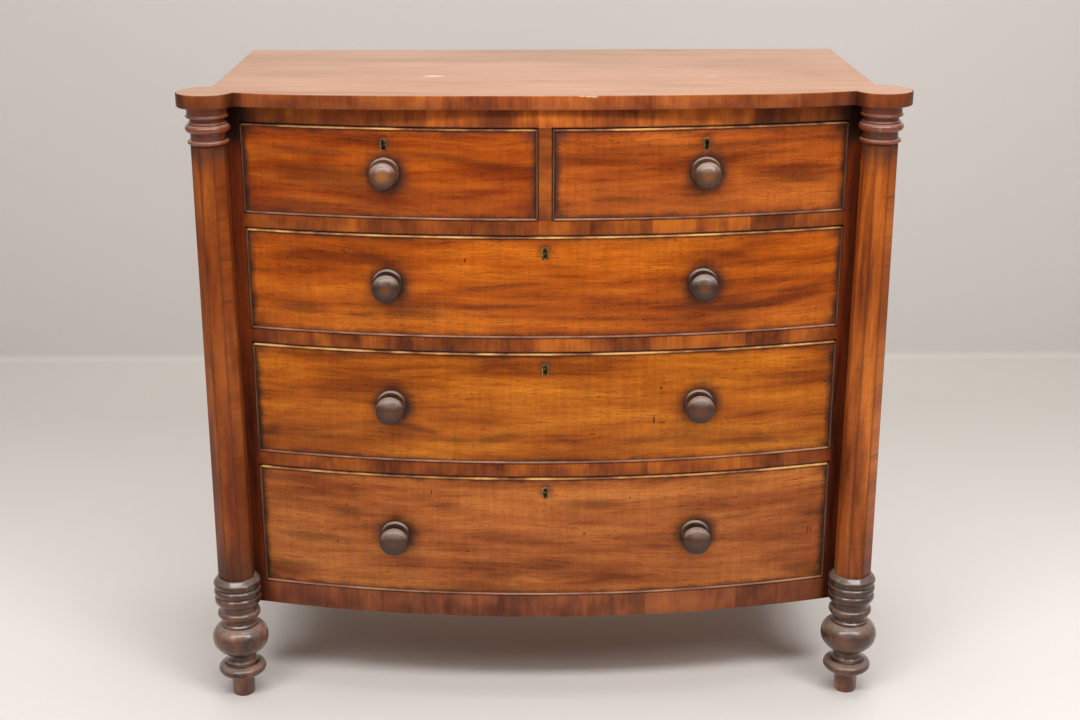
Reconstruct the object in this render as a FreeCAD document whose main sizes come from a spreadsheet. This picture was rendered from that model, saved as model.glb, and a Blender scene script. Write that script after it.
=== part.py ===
import FreeCAD, Part
import math
import os

import Sketcher

# Bow front chest of drawers: two short drawers over three long ones.
# Millimetres, +Z up, +X to the right of someone facing the chest, the room lies towards -Y.
# The origin is on the floor, in the middle of the chest's overall width and depth.

doc = FreeCAD.newDocument("bow_front_chest")

# ---------------------------------------------------------------------------------------------
# Sizes: plain numbers with names, each written once
# ---------------------------------------------------------------------------------------------

SIZES = {
    # carcass
    "column_spacing": 1070,        # between the centres of the two front columns
    "case_depth": 456,             # from the columns' centres to the back of the case
    "foot_height": 165,
    "bottom_rail_height": 42,
    "rail_height": 24,
    "row_one_height": 149,         # opening of the short drawers
    "row_growth": 23.3,            # each lower row is this much taller
    "frieze_height": 30,
    "side_thickness": 18,
    "side_inset": 15,              # the sides' outer faces lie inside the columns' centres
    "back_thickness": 8,
    "post_width": 31,              # front corner post, whose edge is the visible stile
    "post_depth": 60,              # from the columns' centres to the back of the front posts
    "column_seat": 27,             # from the columns' centres to the front of the posts
    "bow_set": 23.3,               # from the columns' centres to the bow at the drawer opening's edge
    "bow_rise": 65.3,              # how far the bow swells forward across the opening
    "muntin_width": 21,
    "rear_post_width": 32,
    "rear_post_depth": 30,
    # top board
    "top_thickness": 22.3,
    "side_overhang": 12,
    "back_overhang": 10,
    "crown_overhang": 12,          # past the bow, at the middle
    "ear_radius": 47,
    "notch_set": 14,               # from the columns' centres to the notch beside each ear
    "shallow_half": 330,           # half the width of the front edge's shallow middle arc
    "shallow_rise": 10.5,
    # hidden frame
    "runner_width": 42,
    "guide_height": 15,
    "kicker_width": 32,
    "centre_runner_width": 80,
    "dustboard_thickness": 6,
    "stop_width": 30,
    "stop_depth": 20,
    "stop_height": 5,
    "stop_set": 139,               # from the side of the drawer opening to a stop's inner end
    "foot_block": 77,
    "foot_block_height": 18,
    # drawers
    "drawer_gap": 1,               # under and beside each drawer front
    "head_gap": 2,                 # over each drawer front
    "runner_gap": 0.3,             # between anything that slides and what it slides along
    "drawer_rear_room": 51,        # behind the drawers, inside the case
    "front_thickness": 21,
    "lap_depth": 12,               # from a drawer's face to the ends of its sides
    "side_board": 10,
    "back_board": 10,
    "bottom_board": 6,
    "bottom_rise": 8,
    "groove_depth": 5,
    "fit": 0.1,                    # between pieces that are let into one another
    "cut_past": 1,                 # how far a cutting block runs past the face that it cuts
    "side_drop": 5,
    "back_drop": 6,
    # cock bead
    "bead_width": 3,
    "bead_depth": 8,
    "bead_proud": 2.5,
    # turned knobs, lengths measured straight outwards from the drawer's face
    "knob_shift": 5.8,             # outwards from the middle of a short drawer
    "knob_rise_1": 1.9,            # above the middle of the drawer's front, row by row
    "knob_rise_2": 3.9,
    "knob_rise_3": 3.9,
    "knob_rise_4": -0.6,
    "knob_growth": 0.04,           # each lower row's knobs have heads wider by this share
    "knob_spigot_radius": 8,
    "knob_spigot_set": 2.5,        # the spigot stops this short of the front's inner face
    "knob_bore_past": 5,           # how far the boring bit runs past both faces of the front
    "knob_scribe": 4,              # timber behind the face, scribed away to fit the bow
    "knob_flange_radius": 22.3,
    "knob_flange_bulge": 5.5,
    "knob_flange_length": 9,
    "knob_neck_radius": 12.5,
    "knob_neck_end": 22,
    "knob_head_radius": 19.1,
    "knob_head_back": 26,
    "knob_head_taper": 0.3,
    "knob_rim_bulge": 14,
    "knob_rim_end": 43,
    "knob_length": 50,
    # brass keyhole escutcheon and lock
    "keyhole_drop": 22.5,
    "escutcheon_round": 6,
    "escutcheon_skirt": 5.6,
    "escutcheon_tail": 15.5,
    "escutcheon_wall": 2.4,
    "escutcheon_depth": 4,
    "lock_width": 60,
    "lock_height": 44,
    "lock_depth": 11,
    "selvedge_width": 74,
    "selvedge_thickness": 2.5,
    "selvedge_set": 0.6,           # from the back of the bead, which is bowed, to the flat selvedge
    "bolt_width": 20,
    "bolt_thickness": 5,
    "bolt_length": 26,
    "bolt_travel": 8,
    "bolt_heel": 2,                # room under the bolt, inside the lock
    "mortise_ends": 3,             # room at the ends of a bolt in its rail
    "mortise_sides": 1,
    "mortise_head": 2,
    "key_pin_radius": 1.6,
    # octagonal columns, radii to the corners
    "column_foot_radius": 32.3,
    "column_head_radius": 29.2,
    "base_height": 63,
    "capital_height": 60,
    "dowel_radius": 12,
    # turned column base, heights from its underside
    "base_neck_radius": 33,
    "base_neck_top": 11,
    "ovolo_radius": 37.2,
    "ovolo_sweep": 10,
    "ovolo_turn": 28,
    "ovolo_top": 29,
    "base_ring_radius": 37.2,
    "base_ring_bulge": 8.3,
    "lower_ring_foot": 29.5,
    "lower_ring_top": 43,
    "upper_ring_foot": 44.5,
    "upper_ring_top": 58,
    "base_lip": 3.5,                 # the last step in, under the column
    # turned capital, heights from its underside
    "astragal_radius": 30.6,
    "astragal_bulge": 3.4,
    "astragal_top": 6.5,
    "capital_neck_radius": 28,
    "torus_foot": 19,
    "torus_radius": 31.6,
    "torus_bulge": 6.8,
    "torus_top": 31.5,
    "bead_radius": 29.5,
    "capital_bead_bulge": 1.8,
    "capital_bead_top": 35,
    "cove_radius": 27.8,
    "cove_top": 42,
    "crown_radius": 32.6,
    "crown_bulge": 2.8,
    "crown_top": 47,
    "crown_lip": 0.6,                # the step in between the crown ring and the top board
    # turned feet, heights from the floor
    "peg_tip_radius": 18,
    "peg_toe_radius": 19.2,
    "peg_toe": 3,
    "peg_radius": 20,
    "peg_top": 34,
    "saucer_radius": 36.3,
    "saucer_foot": 43.5,
    "saucer_bulge": 8.6,
    "saucer_top": 59,
    "saucer_sweep": 22,
    "fillet_radius": 27.5,
    "fillet_foot": 64,
    "fillet_top": 66.5,
    "waist_radius": 25.5,
    "waist_curve": 11,
    "waist_foot": 68,
    "waist_top": 82.5,
    "bulb_foot_radius": 29.5,
    "bulb_foot": 84,
    "bulb_radius": 48.4,
    "bulb_middle": 112,
    "bulb_top": 137,
    "bulb_top_radius": 30.5,
    "step_radius": 31,
    "step_bulge": 1.8,
    "step_top": 140,
    "foot_neck_radius": 29.3,
    "foot_neck_curve": 9,
    "foot_neck_foot": 141.5,
    "foot_neck_top": 151.5,
    "foot_bead_radius": 33,
    "foot_bead_bulge": 7.6,
}

sheet = doc.addObject("Spreadsheet::Sheet", "Sizes")
for row, (name, value) in enumerate(SIZES.items(), start=1):
    sheet.set(f"A{row}", name)
    sheet.set(f"B{row}", str(value))
    sheet.setAlias(f"B{row}", name)
doc.recompute()

# ---------------------------------------------------------------------------------------------
# Layout: the planes and lines that several pieces share, worked out from the sizes
# ---------------------------------------------------------------------------------------------

layout = doc.addObject("App::VarSet", "Layout")


def place(name, expression):
    """Name a plane or a shared length, bound to the sheet."""
    layout.addProperty("App::PropertyFloat", name)
    layout.setExpression(name, expression)


def lay_out_heights():
    place("bottom_rail_top", "Sizes.foot_height + Sizes.bottom_rail_height")
    floor = "bottom_rail_top"
    for number in (4, 3, 2, 1):
        place(f"floor_{number}", floor)
        height = f"Sizes.row_one_height + {number - 1} * Sizes.row_growth"
        place(f"ceiling_{number}", f"floor_{number} + {height}")
        floor = f"ceiling_{number} + Sizes.rail_height"
    place("case_top", "ceiling_1 + Sizes.frieze_height")
    place("top_face", "case_top + Sizes.top_thickness")
    place("column_foot", "Sizes.foot_height + Sizes.base_height")
    place("column_head", "case_top - Sizes.capital_height")


def lay_out_plan():
    place("column_x", "Sizes.column_spacing / 2")
    place("side_face", "column_x - Sizes.side_inset")
    place("side_inner", "side_face - Sizes.side_thickness")
    place("opening_half", "side_face - Sizes.post_width")
    place("bow_radius", "(opening_half ^ 2 + Sizes.bow_rise ^ 2) / (2 * Sizes.bow_rise)")
    # the upright line of the knobs, just outside a short drawer's middle
    place("knob_x", "(opening_half + Sizes.muntin_width / 2) / 2 + Sizes.knob_shift")
    place("crown_reach", "Sizes.bow_rise - Sizes.bow_set + Sizes.crown_overhang")
    # the foremost points of the chest are the knobs' domes, so they set the columns' place
    place("knob_seat", "bow_radius - sqrt(bow_radius ^ 2 - knob_x ^ 2) + Sizes.bow_set - Sizes.bow_rise")
    place("dome_height", "Sizes.knob_length - Sizes.knob_rim_end")
    for row in (1, 2, 3, 4):
        place(f"knob_scale_{row}", f"1 + {row - 1} * Sizes.knob_growth")
        rim = f"(Sizes.knob_head_radius * knob_scale_{row})"
        place(f"dome_radius_{row}", f"({rim} ^ 2 + dome_height ^ 2) / (2 * dome_height)")
    place("overall_depth", "Sizes.case_depth + Sizes.back_overhang + Sizes.knob_length - knob_seat")
    place("column_y", "overall_depth / 2 - Sizes.case_depth - Sizes.back_overhang")
    place("bow_centre", "column_y + Sizes.bow_set - Sizes.bow_rise + bow_radius")
    place("seat_y", "column_y + Sizes.column_seat")
    place("post_back", "column_y + Sizes.post_depth")
    place("case_back", "column_y + Sizes.case_depth")
    place("back_front", "case_back - Sizes.back_thickness")
    place("rear_post_front", "back_front - Sizes.rear_post_depth")
    place("drawer_rear", "case_back - Sizes.drawer_rear_room")


def lay_out_top_edge():
    """The top's front edge: a shallow arc that turns, tangent, into a tighter one at each end."""
    place("shallow_radius", "(Sizes.shallow_half ^ 2 + Sizes.shallow_rise ^ 2) / (2 * Sizes.shallow_rise)")
    place("top_crown", "column_y - crown_reach")
    place("notch_x", "column_x - sqrt(Sizes.ear_radius ^ 2 - Sizes.notch_set ^ 2)")
    place("turn_run", "notch_x - Sizes.shallow_half")
    place("turn_rise", "crown_reach - Sizes.notch_set - Sizes.shallow_rise")
    place("turn_chord", "sqrt(turn_run ^ 2 + turn_rise ^ 2)")
    place("shallow_slope", "Sizes.shallow_half / shallow_radius")
    place("turn_sine", "(turn_rise * sqrt(1 - shallow_slope ^ 2) - turn_run * shallow_slope) / turn_chord")
    place("turn_radius", "turn_chord / (2 * turn_sine)")
    place("top_side", "side_face + Sizes.side_overhang")
    place("ear_side_y", "column_y + sqrt(Sizes.ear_radius ^ 2 - (column_x - top_side) ^ 2)")


def lay_out_bulb():
    """The radii of a foot's two bulb arcs, which meet upright at its widest point."""
    for arc, end_radius, height in (
        ("lower", "bulb_foot_radius", "(Sizes.bulb_middle - Sizes.bulb_foot)"),
        ("upper", "bulb_top_radius", "(Sizes.bulb_top - Sizes.bulb_middle)"),
    ):
        swell = f"(Sizes.bulb_radius - Sizes.{end_radius})"
        place(f"bulb_{arc}_curve", f"({swell} ^ 2 + {height} ^ 2) / (2 * {swell})")


lay_out_heights()
lay_out_plan()
lay_out_top_edge()
lay_out_bulb()
doc.recompute()


def bow_y(x, inset="0"):
    """The bow's surface, moved back by inset, at the distance x from the middle."""
    return f"(Layout.bow_centre - sqrt((Layout.bow_radius - ({inset})) ^ 2 - ({x}) ^ 2))"


# ---------------------------------------------------------------------------------------------
# Helpers that make bound pieces
# ---------------------------------------------------------------------------------------------

names_used = {}
nodes = []


def new(kind, name):
    names_used[name] = names_used.get(name, 0) + 1
    return doc.addObject(kind, f"{name}_{names_used[name]}")


def slab(x0, x1, y0, y1, z0, z1):
    """A board between six planes, each an expression."""
    board = new("Part::Box", "board")
    board.setExpression("Length", f"({x1}) - ({x0})")
    board.setExpression("Width", f"({y1}) - ({y0})")
    board.setExpression("Height", f"({z1}) - ({z0})")
    board.setExpression("Placement.Base.x", x0)
    board.setExpression("Placement.Base.y", y0)
    board.setExpression("Placement.Base.z", z0)
    return board


def upright(radius, x, y, z0, z1):
    """A vertical cylinder."""
    rod = new("Part::Cylinder", "rod")
    rod.setExpression("Radius", radius)
    rod.setExpression("Height", f"({z1}) - ({z0})")
    rod.setExpression("Placement.Base.x", x)
    rod.setExpression("Placement.Base.y", y)
    rod.setExpression("Placement.Base.z", z0)
    return rod


def level_rod(radius, x, y0, y1, z):
    """A horizontal cylinder that runs from front to back."""
    rod = new("Part::Cylinder", "level_rod")
    rod.Placement.Rotation = FreeCAD.Rotation(FreeCAD.Vector(1, 0, 0), -90)
    rod.setExpression("Radius", radius)
    rod.setExpression("Height", f"({y1}) - ({y0})")
    rod.setExpression("Placement.Base.x", x)
    rod.setExpression("Placement.Base.y", y0)
    rod.setExpression("Placement.Base.z", z)
    return rod


def bowed(inset, z0, z1):
    """All that lies behind the bow's surface, moved back by inset."""
    return upright(f"Layout.bow_radius - ({inset})", "0", "Layout.bow_centre", z0, z1)


def common(first, second):
    piece = new("Part::Common", "shared")
    piece.Base = first
    piece.Tool = second
    return piece


def cut(first, second):
    piece = new("Part::Cut", "cut")
    piece.Base = first
    piece.Tool = second
    return piece


def fuse(*pieces):
    piece = new("Part::MultiFuse", "joined")
    piece.Shapes = list(pieces)
    return piece


def group(*pieces):
    piece = new("Part::Compound", "group")
    piece.Links = list(pieces)
    return piece


def subpart(label, *pieces):
    """One node: a group of separate solids under its own label."""
    node = group(*pieces)
    node.Label = label
    nodes.append(node)
    return node


def mirrored(piece):
    """The same piece on the other side of the chest."""
    twin = new("Part::Mirroring", "twin")
    twin.Source = piece
    twin.Normal = (1, 0, 0)
    return twin


def both(piece):
    """A piece and its twin on the other side, in one list."""
    return [piece, mirrored(piece)]


def face_on_bow(piece, x, z):
    """Stand a piece on the bow at x, turned so that its -Y is the way the bow faces there."""
    piece.Placement = FreeCAD.Placement(FreeCAD.Vector(), FreeCAD.Rotation(FreeCAD.Vector(0, 0, 1), 1))
    piece.setExpression("Placement.Base.x", x)
    piece.setExpression("Placement.Base.y", bow_y(x))
    piece.setExpression("Placement.Base.z", z)
    piece.setExpression("Placement.Rotation.Angle", f"asin(({x}) / Layout.bow_radius)")
    return piece


def outline(body, plane, corners):
    """A closed sketch through bound corners, drawn with the solid on the left.

    Each corner is (x, y, edge): edge is None for a straight run to the next corner, or
    ("out", radius) or ("in", radius) for an arc that swells out of or into the solid.
    """
    support = [item for item in body.Origin.OriginFeatures if item.Role == plane][0]
    sketch = body.newObject("Sketcher::SketchObject", f"{body.Name}_outline")
    sketch.AttachmentSupport = [(support, "")]
    sketch.MapMode = "FlatFace"
    points = []
    for x, y, edge in corners:
        points.append(FreeCAD.Vector(sheet.evalExpression(x), sheet.evalExpression(y), 0))
    starts = []
    for index, (x, y, edge) in enumerate(corners):
        here = points[index]
        there = points[(index + 1) % len(points)]
        if edge is None:
            sketch.addGeometry(Part.LineSegment(here, there))
            starts.append((1, 2))
            continue
        bend, radius = edge
        radius = sheet.evalExpression(radius)
        run = there - here
        left = FreeCAD.Vector(-run.y, run.x, 0).normalize()
        side = 1 if bend == "out" else -1
        centre = (here + there) * 0.5 + left * side * math.sqrt(radius ** 2 - run.Length ** 2 / 4)
        first, last = (here, there) if bend == "out" else (there, here)
        start = math.atan2(first.y - centre.y, first.x - centre.x)
        end = math.atan2(last.y - centre.y, last.x - centre.x)
        circle = Part.Circle(centre, FreeCAD.Vector(0, 0, 1), radius)
        sketch.addGeometry(Part.ArcOfCircle(circle, start, end))
        starts.append((1, 2) if bend == "out" else (2, 1))
    for index, (x, y, edge) in enumerate(corners):
        after = (index + 1) % len(corners)
        joint = (index, starts[index][1], after, starts[after][0])
        sketch.addConstraint(Sketcher.Constraint("Coincident", *joint))
        for kind, expression, axis, value in (
            ("DistanceX", x, -2, points[index].x),
            ("DistanceY", y, -1, points[index].y),
        ):
            if expression == "0":
                sketch.addConstraint(Sketcher.Constraint("PointOnObject", index, starts[index][0], axis))
                continue
            made = sketch.addConstraint(Sketcher.Constraint(kind, -1, 1, index, starts[index][0], value))
            sketch.setExpression(f"Constraints[{made}]", expression)
        if edge is not None:
            radius = sheet.evalExpression(edge[1])
            made = sketch.addConstraint(Sketcher.Constraint("Radius", index, radius))
            sketch.setExpression(f"Constraints[{made}]", edge[1])
    return sketch


def turned(name, plane, corners):
    """A piece turned on the lathe: its half outline, spun about the sketch's upright axis."""
    body = new("PartDesign::Body", name)
    sketch = outline(body, plane, corners)
    spin = body.newObject("PartDesign::Revolution", f"{body.Name}_spin")
    spin.Profile = sketch
    spin.ReferenceAxis = (sketch, ["V_Axis"])
    spin.Angle = 360
    return body


def padded(name, plane, corners, length, reverse=False):
    """A flat outline given a thickness."""
    body = new("PartDesign::Body", name)
    pad = body.newObject("PartDesign::Pad", f"{body.Name}_pad")
    sketch = outline(body, plane, corners)
    pad.Profile = sketch
    pad.setExpression("Length", length)
    pad.Reversed = reverse
    body.Tip = pad
    return body


def size(name, *terms):
    """The expression of a size, with further terms added as they stand."""
    return " ".join([f"Sizes.{name}", *terms])


# ---------------------------------------------------------------------------------------------
# Carcass
# ---------------------------------------------------------------------------------------------


def make_top():
    """The plate: straight sides and back, a round ear over each column, a bowed front edge."""
    ear = ("out", "Sizes.ear_radius")
    turn = ("out", "Layout.turn_radius")
    front_y = "Layout.top_crown + Sizes.shallow_rise"
    notch_y = "Layout.column_y - Sizes.notch_set"
    back_y = "Layout.case_back + Sizes.back_overhang"
    board = padded("top", "XY_Plane", [
        ("-Layout.top_side", back_y, None),
        ("-Layout.top_side", "Layout.ear_side_y", ear),
        ("-Layout.column_x - Sizes.ear_radius", "Layout.column_y", ear),
        ("-Layout.notch_x", notch_y, turn),
        ("-Sizes.shallow_half", front_y, ("out", "Layout.shallow_radius")),
        ("Sizes.shallow_half", front_y, turn),
        ("Layout.notch_x", notch_y, ear),
        ("Layout.column_x + Sizes.ear_radius", "Layout.column_y", ear),
        ("Layout.top_side", "Layout.ear_side_y", None),
        ("Layout.top_side", back_y, None),
    ], "Sizes.top_thickness")
    board.setExpression("Placement.Base.z", "Layout.case_top")
    subpart("top_board", board)


def make_case():
    """Side panels, back panel and the four corner posts."""
    side = slab("Layout.side_inner", "Layout.side_face", "Layout.post_back", "Layout.case_back",
                "Sizes.foot_height", "Layout.case_top")
    subpart("side_panels", *both(side))
    back = slab("-Layout.side_inner", "Layout.side_inner", "Layout.back_front", "Layout.case_back",
                "Sizes.foot_height", "Layout.case_top")
    subpart("back_panel", back)
    # the front post is square where the column and the panels meet it, and bowed where it shows
    square = slab("Layout.opening_half", "Layout.side_face", "Layout.seat_y", "Layout.post_back",
                  "Sizes.foot_height", "Layout.case_top")
    shown = slab("Layout.opening_half", "Layout.opening_half + Sizes.post_width / 2", "Layout.column_y",
                 "Layout.post_back", "Sizes.foot_height", "Layout.case_top")
    front_post = fuse(square, common(shown, bowed("0", "Sizes.foot_height", "Layout.case_top")))
    rear_post = slab("Layout.side_inner - Sizes.rear_post_width", "Layout.side_inner",
                     "Layout.rear_post_front", "Layout.back_front",
                     "Sizes.foot_height + Sizes.foot_block_height", "Layout.case_top")
    subpart("corner_posts", *both(front_post), *both(rear_post))


def bowed_rail(z0, z1):
    """A rail between the front posts: bowed in front, straight behind."""
    timber = slab("-Layout.opening_half", "Layout.opening_half", "Layout.bow_centre - Layout.bow_radius",
                  "Layout.post_back", z0, z1)
    return common(timber, bowed("0", z0, z1))


def bolt_mortise(x, ceiling):
    """The slot that a lock's bolt rises into, in the rail above a drawer."""
    width = "(Sizes.bolt_width / 2 + Sizes.mortise_ends)"
    middle = "(Sizes.bead_depth + (Sizes.front_thickness - Sizes.bead_depth) / 2)"
    half = "(Sizes.bolt_thickness / 2 + Sizes.mortise_sides)"
    slot = lock_box("-Sizes.cut_past", "Sizes.bolt_travel + Sizes.mortise_head", width,
                    f"{middle} - {half}", f"{middle} + {half}")
    return face_on_bow(group(slot), x, ceiling)


def make_rails():
    frieze = cut(bowed_rail("Layout.ceiling_1", "Layout.case_top"),
                 group(bolt_mortise("-Layout.knob_x", "Layout.ceiling_1"),
                       bolt_mortise("Layout.knob_x", "Layout.ceiling_1")))
    rails = [frieze]
    for number in (2, 3, 4):
        ceiling = f"Layout.ceiling_{number}"
        rails.append(cut(bowed_rail(ceiling, f"{ceiling} + Sizes.rail_height"), bolt_mortise("0", ceiling)))
    subpart("drawer_rails", *rails)
    subpart("bottom_rail", bowed_rail("Sizes.foot_height", "Layout.bottom_rail_top"))
    muntin = slab("-Sizes.muntin_width / 2", "Sizes.muntin_width / 2",
                  "Layout.bow_centre - Layout.bow_radius", "Layout.post_back",
                  "Layout.floor_1", "Layout.ceiling_1")
    subpart("centre_muntin", common(muntin, bowed("0", "Layout.floor_1", "Layout.ceiling_1")))


def make_hidden_frame():
    """Runners, guides and kickers behind the rails, dustboards between them, and drawer stops."""
    strips = []
    for number in (1, 2, 3, 4):
        floor = f"Layout.floor_{number}"
        strips += both(slab("Layout.side_inner - Sizes.runner_width", "Layout.side_inner",
                            "Layout.post_back", "Layout.rear_post_front",
                            f"{floor} - Sizes.rail_height", floor))
        strips += both(slab("Layout.opening_half", "Layout.side_inner", "Layout.post_back",
                            "Layout.rear_post_front", floor, f"{floor} + Sizes.guide_height"))
    board_top = "(Layout.floor_1 - Sizes.rail_height / 2 + Sizes.dustboard_thickness / 2)"
    centre = size("centre_runner_width", "/ 2")
    strips.append(slab(f"-{centre}", centre, "Layout.post_back", "Layout.rear_post_front",
                       board_top, "Layout.floor_1"))
    strips.append(slab("-Sizes.muntin_width / 2", "Sizes.muntin_width / 2", "Layout.post_back",
                       "Layout.rear_post_front", "Layout.floor_1", "Layout.floor_1 + Sizes.guide_height"))
    strips += both(slab("Layout.side_inner - Sizes.kicker_width", "Layout.side_inner", "Layout.post_back",
                        "Layout.rear_post_front", "Layout.ceiling_1", "Layout.case_top"))
    strips.append(slab("-Sizes.kicker_width", "Sizes.kicker_width", "Layout.post_back",
                       "Layout.rear_post_front", "Layout.ceiling_1", "Layout.case_top"))
    subpart("drawer_runners", *strips)
    boards = []
    inner = "(Layout.side_inner - Sizes.runner_width)"
    for number in (1, 2, 3):
        middle = f"Layout.floor_{number} - Sizes.rail_height / 2"
        half = "Sizes.dustboard_thickness / 2"
        boards.append(slab(f"-{inner}", inner, "Layout.post_back", "Layout.rear_post_front",
                           f"{middle} - {half}", f"{middle} + {half}"))
    subpart("dustboards", *boards)
    stops = []
    near = "(Layout.opening_half - Sizes.stop_set)"
    far = f"({near} + Sizes.stop_width)"
    face = bow_y(far, "Sizes.front_thickness")
    for number in (1, 2, 3, 4):
        floor = f"Layout.floor_{number}"
        start = f"{face} + Sizes.runner_gap"
        stops += both(slab(near, far, start, f"{start} + Sizes.stop_depth",
                           floor, f"{floor} + Sizes.stop_height"))
    subpart("drawer_stops", *stops)


def clear_of_post(piece):
    """Cut away what the corner post and the carcass behind it take from a turned piece."""
    corner = slab("Layout.opening_half", "Layout.side_face", "Layout.seat_y", "Layout.post_back",
                  "0", "Layout.top_face")
    return cut(piece, corner)


def stand(piece, z):
    """Set a turned piece on the right-hand column's axis."""
    piece.setExpression("Placement.Base.x", "Layout.column_x")
    piece.setExpression("Placement.Base.y", "Layout.column_y")
    piece.setExpression("Placement.Base.z", z)
    return piece


def make_columns():
    """Octagonal columns, slightly smaller at the head, set against the corner posts."""
    ends = []
    for radius, z in (
        ("column_foot_radius", "Layout.column_foot"),
        ("column_head_radius", "Layout.column_head"),
    ):
        octagon = new("Part::RegularPolygon", "octagon")
        octagon.Polygon = 8
        octagon.Placement.Rotation = FreeCAD.Rotation(FreeCAD.Vector(0, 0, 1), 180 / 8)
        octagon.setExpression("Circumradius", size(radius))
        ends.append(stand(octagon, z))
    shaft = new("Part::Loft", "shaft")
    shaft.Sections = ends
    shaft.Solid = True
    shaft.Ruled = True
    subpart("columns", *both(clear_of_post(shaft)))


def make_capitals():
    profile = [
        ("0", "0", None),
        (size("astragal_radius"), "0", ("out", "Sizes.astragal_bulge")),
        (size("astragal_radius"), size("astragal_top"), None),
        (size("capital_neck_radius"), size("astragal_top"), None),
        (size("capital_neck_radius"), size("torus_foot"), None),
        (size("torus_radius"), size("torus_foot"), ("out", "Sizes.torus_bulge")),
        (size("torus_radius"), size("torus_top"), None),
        (size("bead_radius"), size("torus_top"), ("out", "Sizes.capital_bead_bulge")),
        (size("bead_radius"), size("capital_bead_top"), None),
        (size("cove_radius"), size("capital_bead_top"), None),
        (size("cove_radius"), size("cove_top"), None),
        (size("crown_radius"), size("cove_top"), ("out", "Sizes.crown_bulge")),
        (size("crown_radius"), size("crown_top"), None),
        (size("crown_radius", "- Sizes.crown_lip"), size("crown_top"), None),
        (size("crown_radius", "- Sizes.crown_lip"), size("capital_height"), None),
        ("0", size("capital_height"), None),
    ]
    capital = clear_of_post(stand(turned("capital", "XZ_Plane", profile), "Layout.column_head"))
    subpart("capitals", *both(capital))


def make_column_bases():
    """The turned rings under each column, bored for the foot's dowel."""
    bore = "Sizes.dowel_radius + Sizes.fit"
    ring = ("out", "Sizes.base_ring_bulge")
    profile = [
        (bore, "0", None),
        (size("base_neck_radius"), "0", None),
        (size("base_neck_radius"), size("base_neck_top"), ("out", "Sizes.ovolo_sweep")),
        (size("ovolo_radius"), size("ovolo_turn"), None),
        (size("ovolo_radius"), size("ovolo_top"), None),
        (size("base_ring_radius"), size("lower_ring_foot"), ring),
        (size("base_ring_radius"), size("lower_ring_top"), None),
        (size("base_ring_radius"), size("upper_ring_foot"), ring),
        (size("base_ring_radius"), size("upper_ring_top"), None),
        (size("base_ring_radius", "- Sizes.base_lip"), size("base_height"), None),
        (bore, size("base_height"), None),
    ]
    base = clear_of_post(stand(turned("base", "XZ_Plane", profile), "Sizes.foot_height"))
    subpart("column_bases", *both(base))


def foot_profile(dowel_top):
    """Peg, saucer, waist, bulb, small step, neck and bead, with a dowel on top."""
    return [
        ("0", "0", None),
        (size("peg_tip_radius"), "0", None),
        (size("peg_toe_radius"), size("peg_toe"), None),
        (size("peg_radius"), size("peg_top"), None),
        (size("saucer_radius"), size("saucer_foot"), ("out", "Sizes.saucer_bulge")),
        (size("saucer_radius"), size("saucer_top"), ("in", "Sizes.saucer_sweep")),
        (size("fillet_radius"), size("fillet_foot"), None),
        (size("fillet_radius"), size("fillet_top"), None),
        (size("waist_radius"), size("waist_foot"), ("in", "Sizes.waist_curve")),
        (size("waist_radius"), size("waist_top"), None),
        (size("bulb_foot_radius"), size("bulb_foot"), ("out", "Layout.bulb_lower_curve")),
        (size("bulb_radius"), size("bulb_middle"), ("out", "Layout.bulb_upper_curve")),
        (size("bulb_top_radius"), size("bulb_top"), None),
        (size("step_radius"), size("bulb_top"), ("out", "Sizes.step_bulge")),
        (size("step_radius"), size("step_top"), None),
        (size("foot_neck_radius"), size("foot_neck_foot"), ("in", "Sizes.foot_neck_curve")),
        (size("foot_neck_radius"), size("foot_neck_top"), None),
        (size("foot_bead_radius"), size("foot_neck_top"), ("out", "Sizes.foot_bead_bulge")),
        (size("foot_bead_radius"), size("foot_height"), None),
        (size("dowel_radius"), size("foot_height"), None),
        (size("dowel_radius"), dowel_top, None),
        ("0", dowel_top, None),
    ]


def make_feet():
    """Front feet doweled through the column bases, rear feet doweled into blocks."""
    front = stand(turned("front_foot", "XZ_Plane", foot_profile("Layout.column_foot")), "0")
    block_top = "(Sizes.foot_height + Sizes.foot_block_height)"
    rear = turned("rear_foot", "XZ_Plane", foot_profile(block_top))
    foot_x = "Layout.side_inner - Sizes.foot_block / 2"
    foot_y = "Layout.back_front - Sizes.foot_block / 2"
    rear.setExpression("Placement.Base.x", foot_x)
    rear.setExpression("Placement.Base.y", foot_y)
    subpart("turned_feet", *both(front), *both(rear))
    block = slab("Layout.side_inner - Sizes.foot_block", "Layout.side_inner",
                 "Layout.back_front - Sizes.foot_block", "Layout.back_front", "Sizes.foot_height", block_top)
    hole = upright("Sizes.dowel_radius + Sizes.fit", foot_x, foot_y,
                   "Sizes.foot_height - Sizes.cut_past", f"{block_top} + Sizes.cut_past")
    subpart("rear_foot_blocks", *both(cut(block, hole)))


# ---------------------------------------------------------------------------------------------
# Drawers
# ---------------------------------------------------------------------------------------------


def shell(outer, inner, x0, x1, z0, z1):
    """A bowed board between two insets from the bow, and between planes at its ends and edges."""
    block = slab(x0, x1, "Layout.top_crown", "Layout.post_back + Sizes.post_depth", z0, z1)
    hollow = bowed(inner, f"{z0} - Sizes.cut_past", f"{z1} + Sizes.cut_past")
    return cut(common(block, bowed(outer, z0, z1)), hollow)


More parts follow.
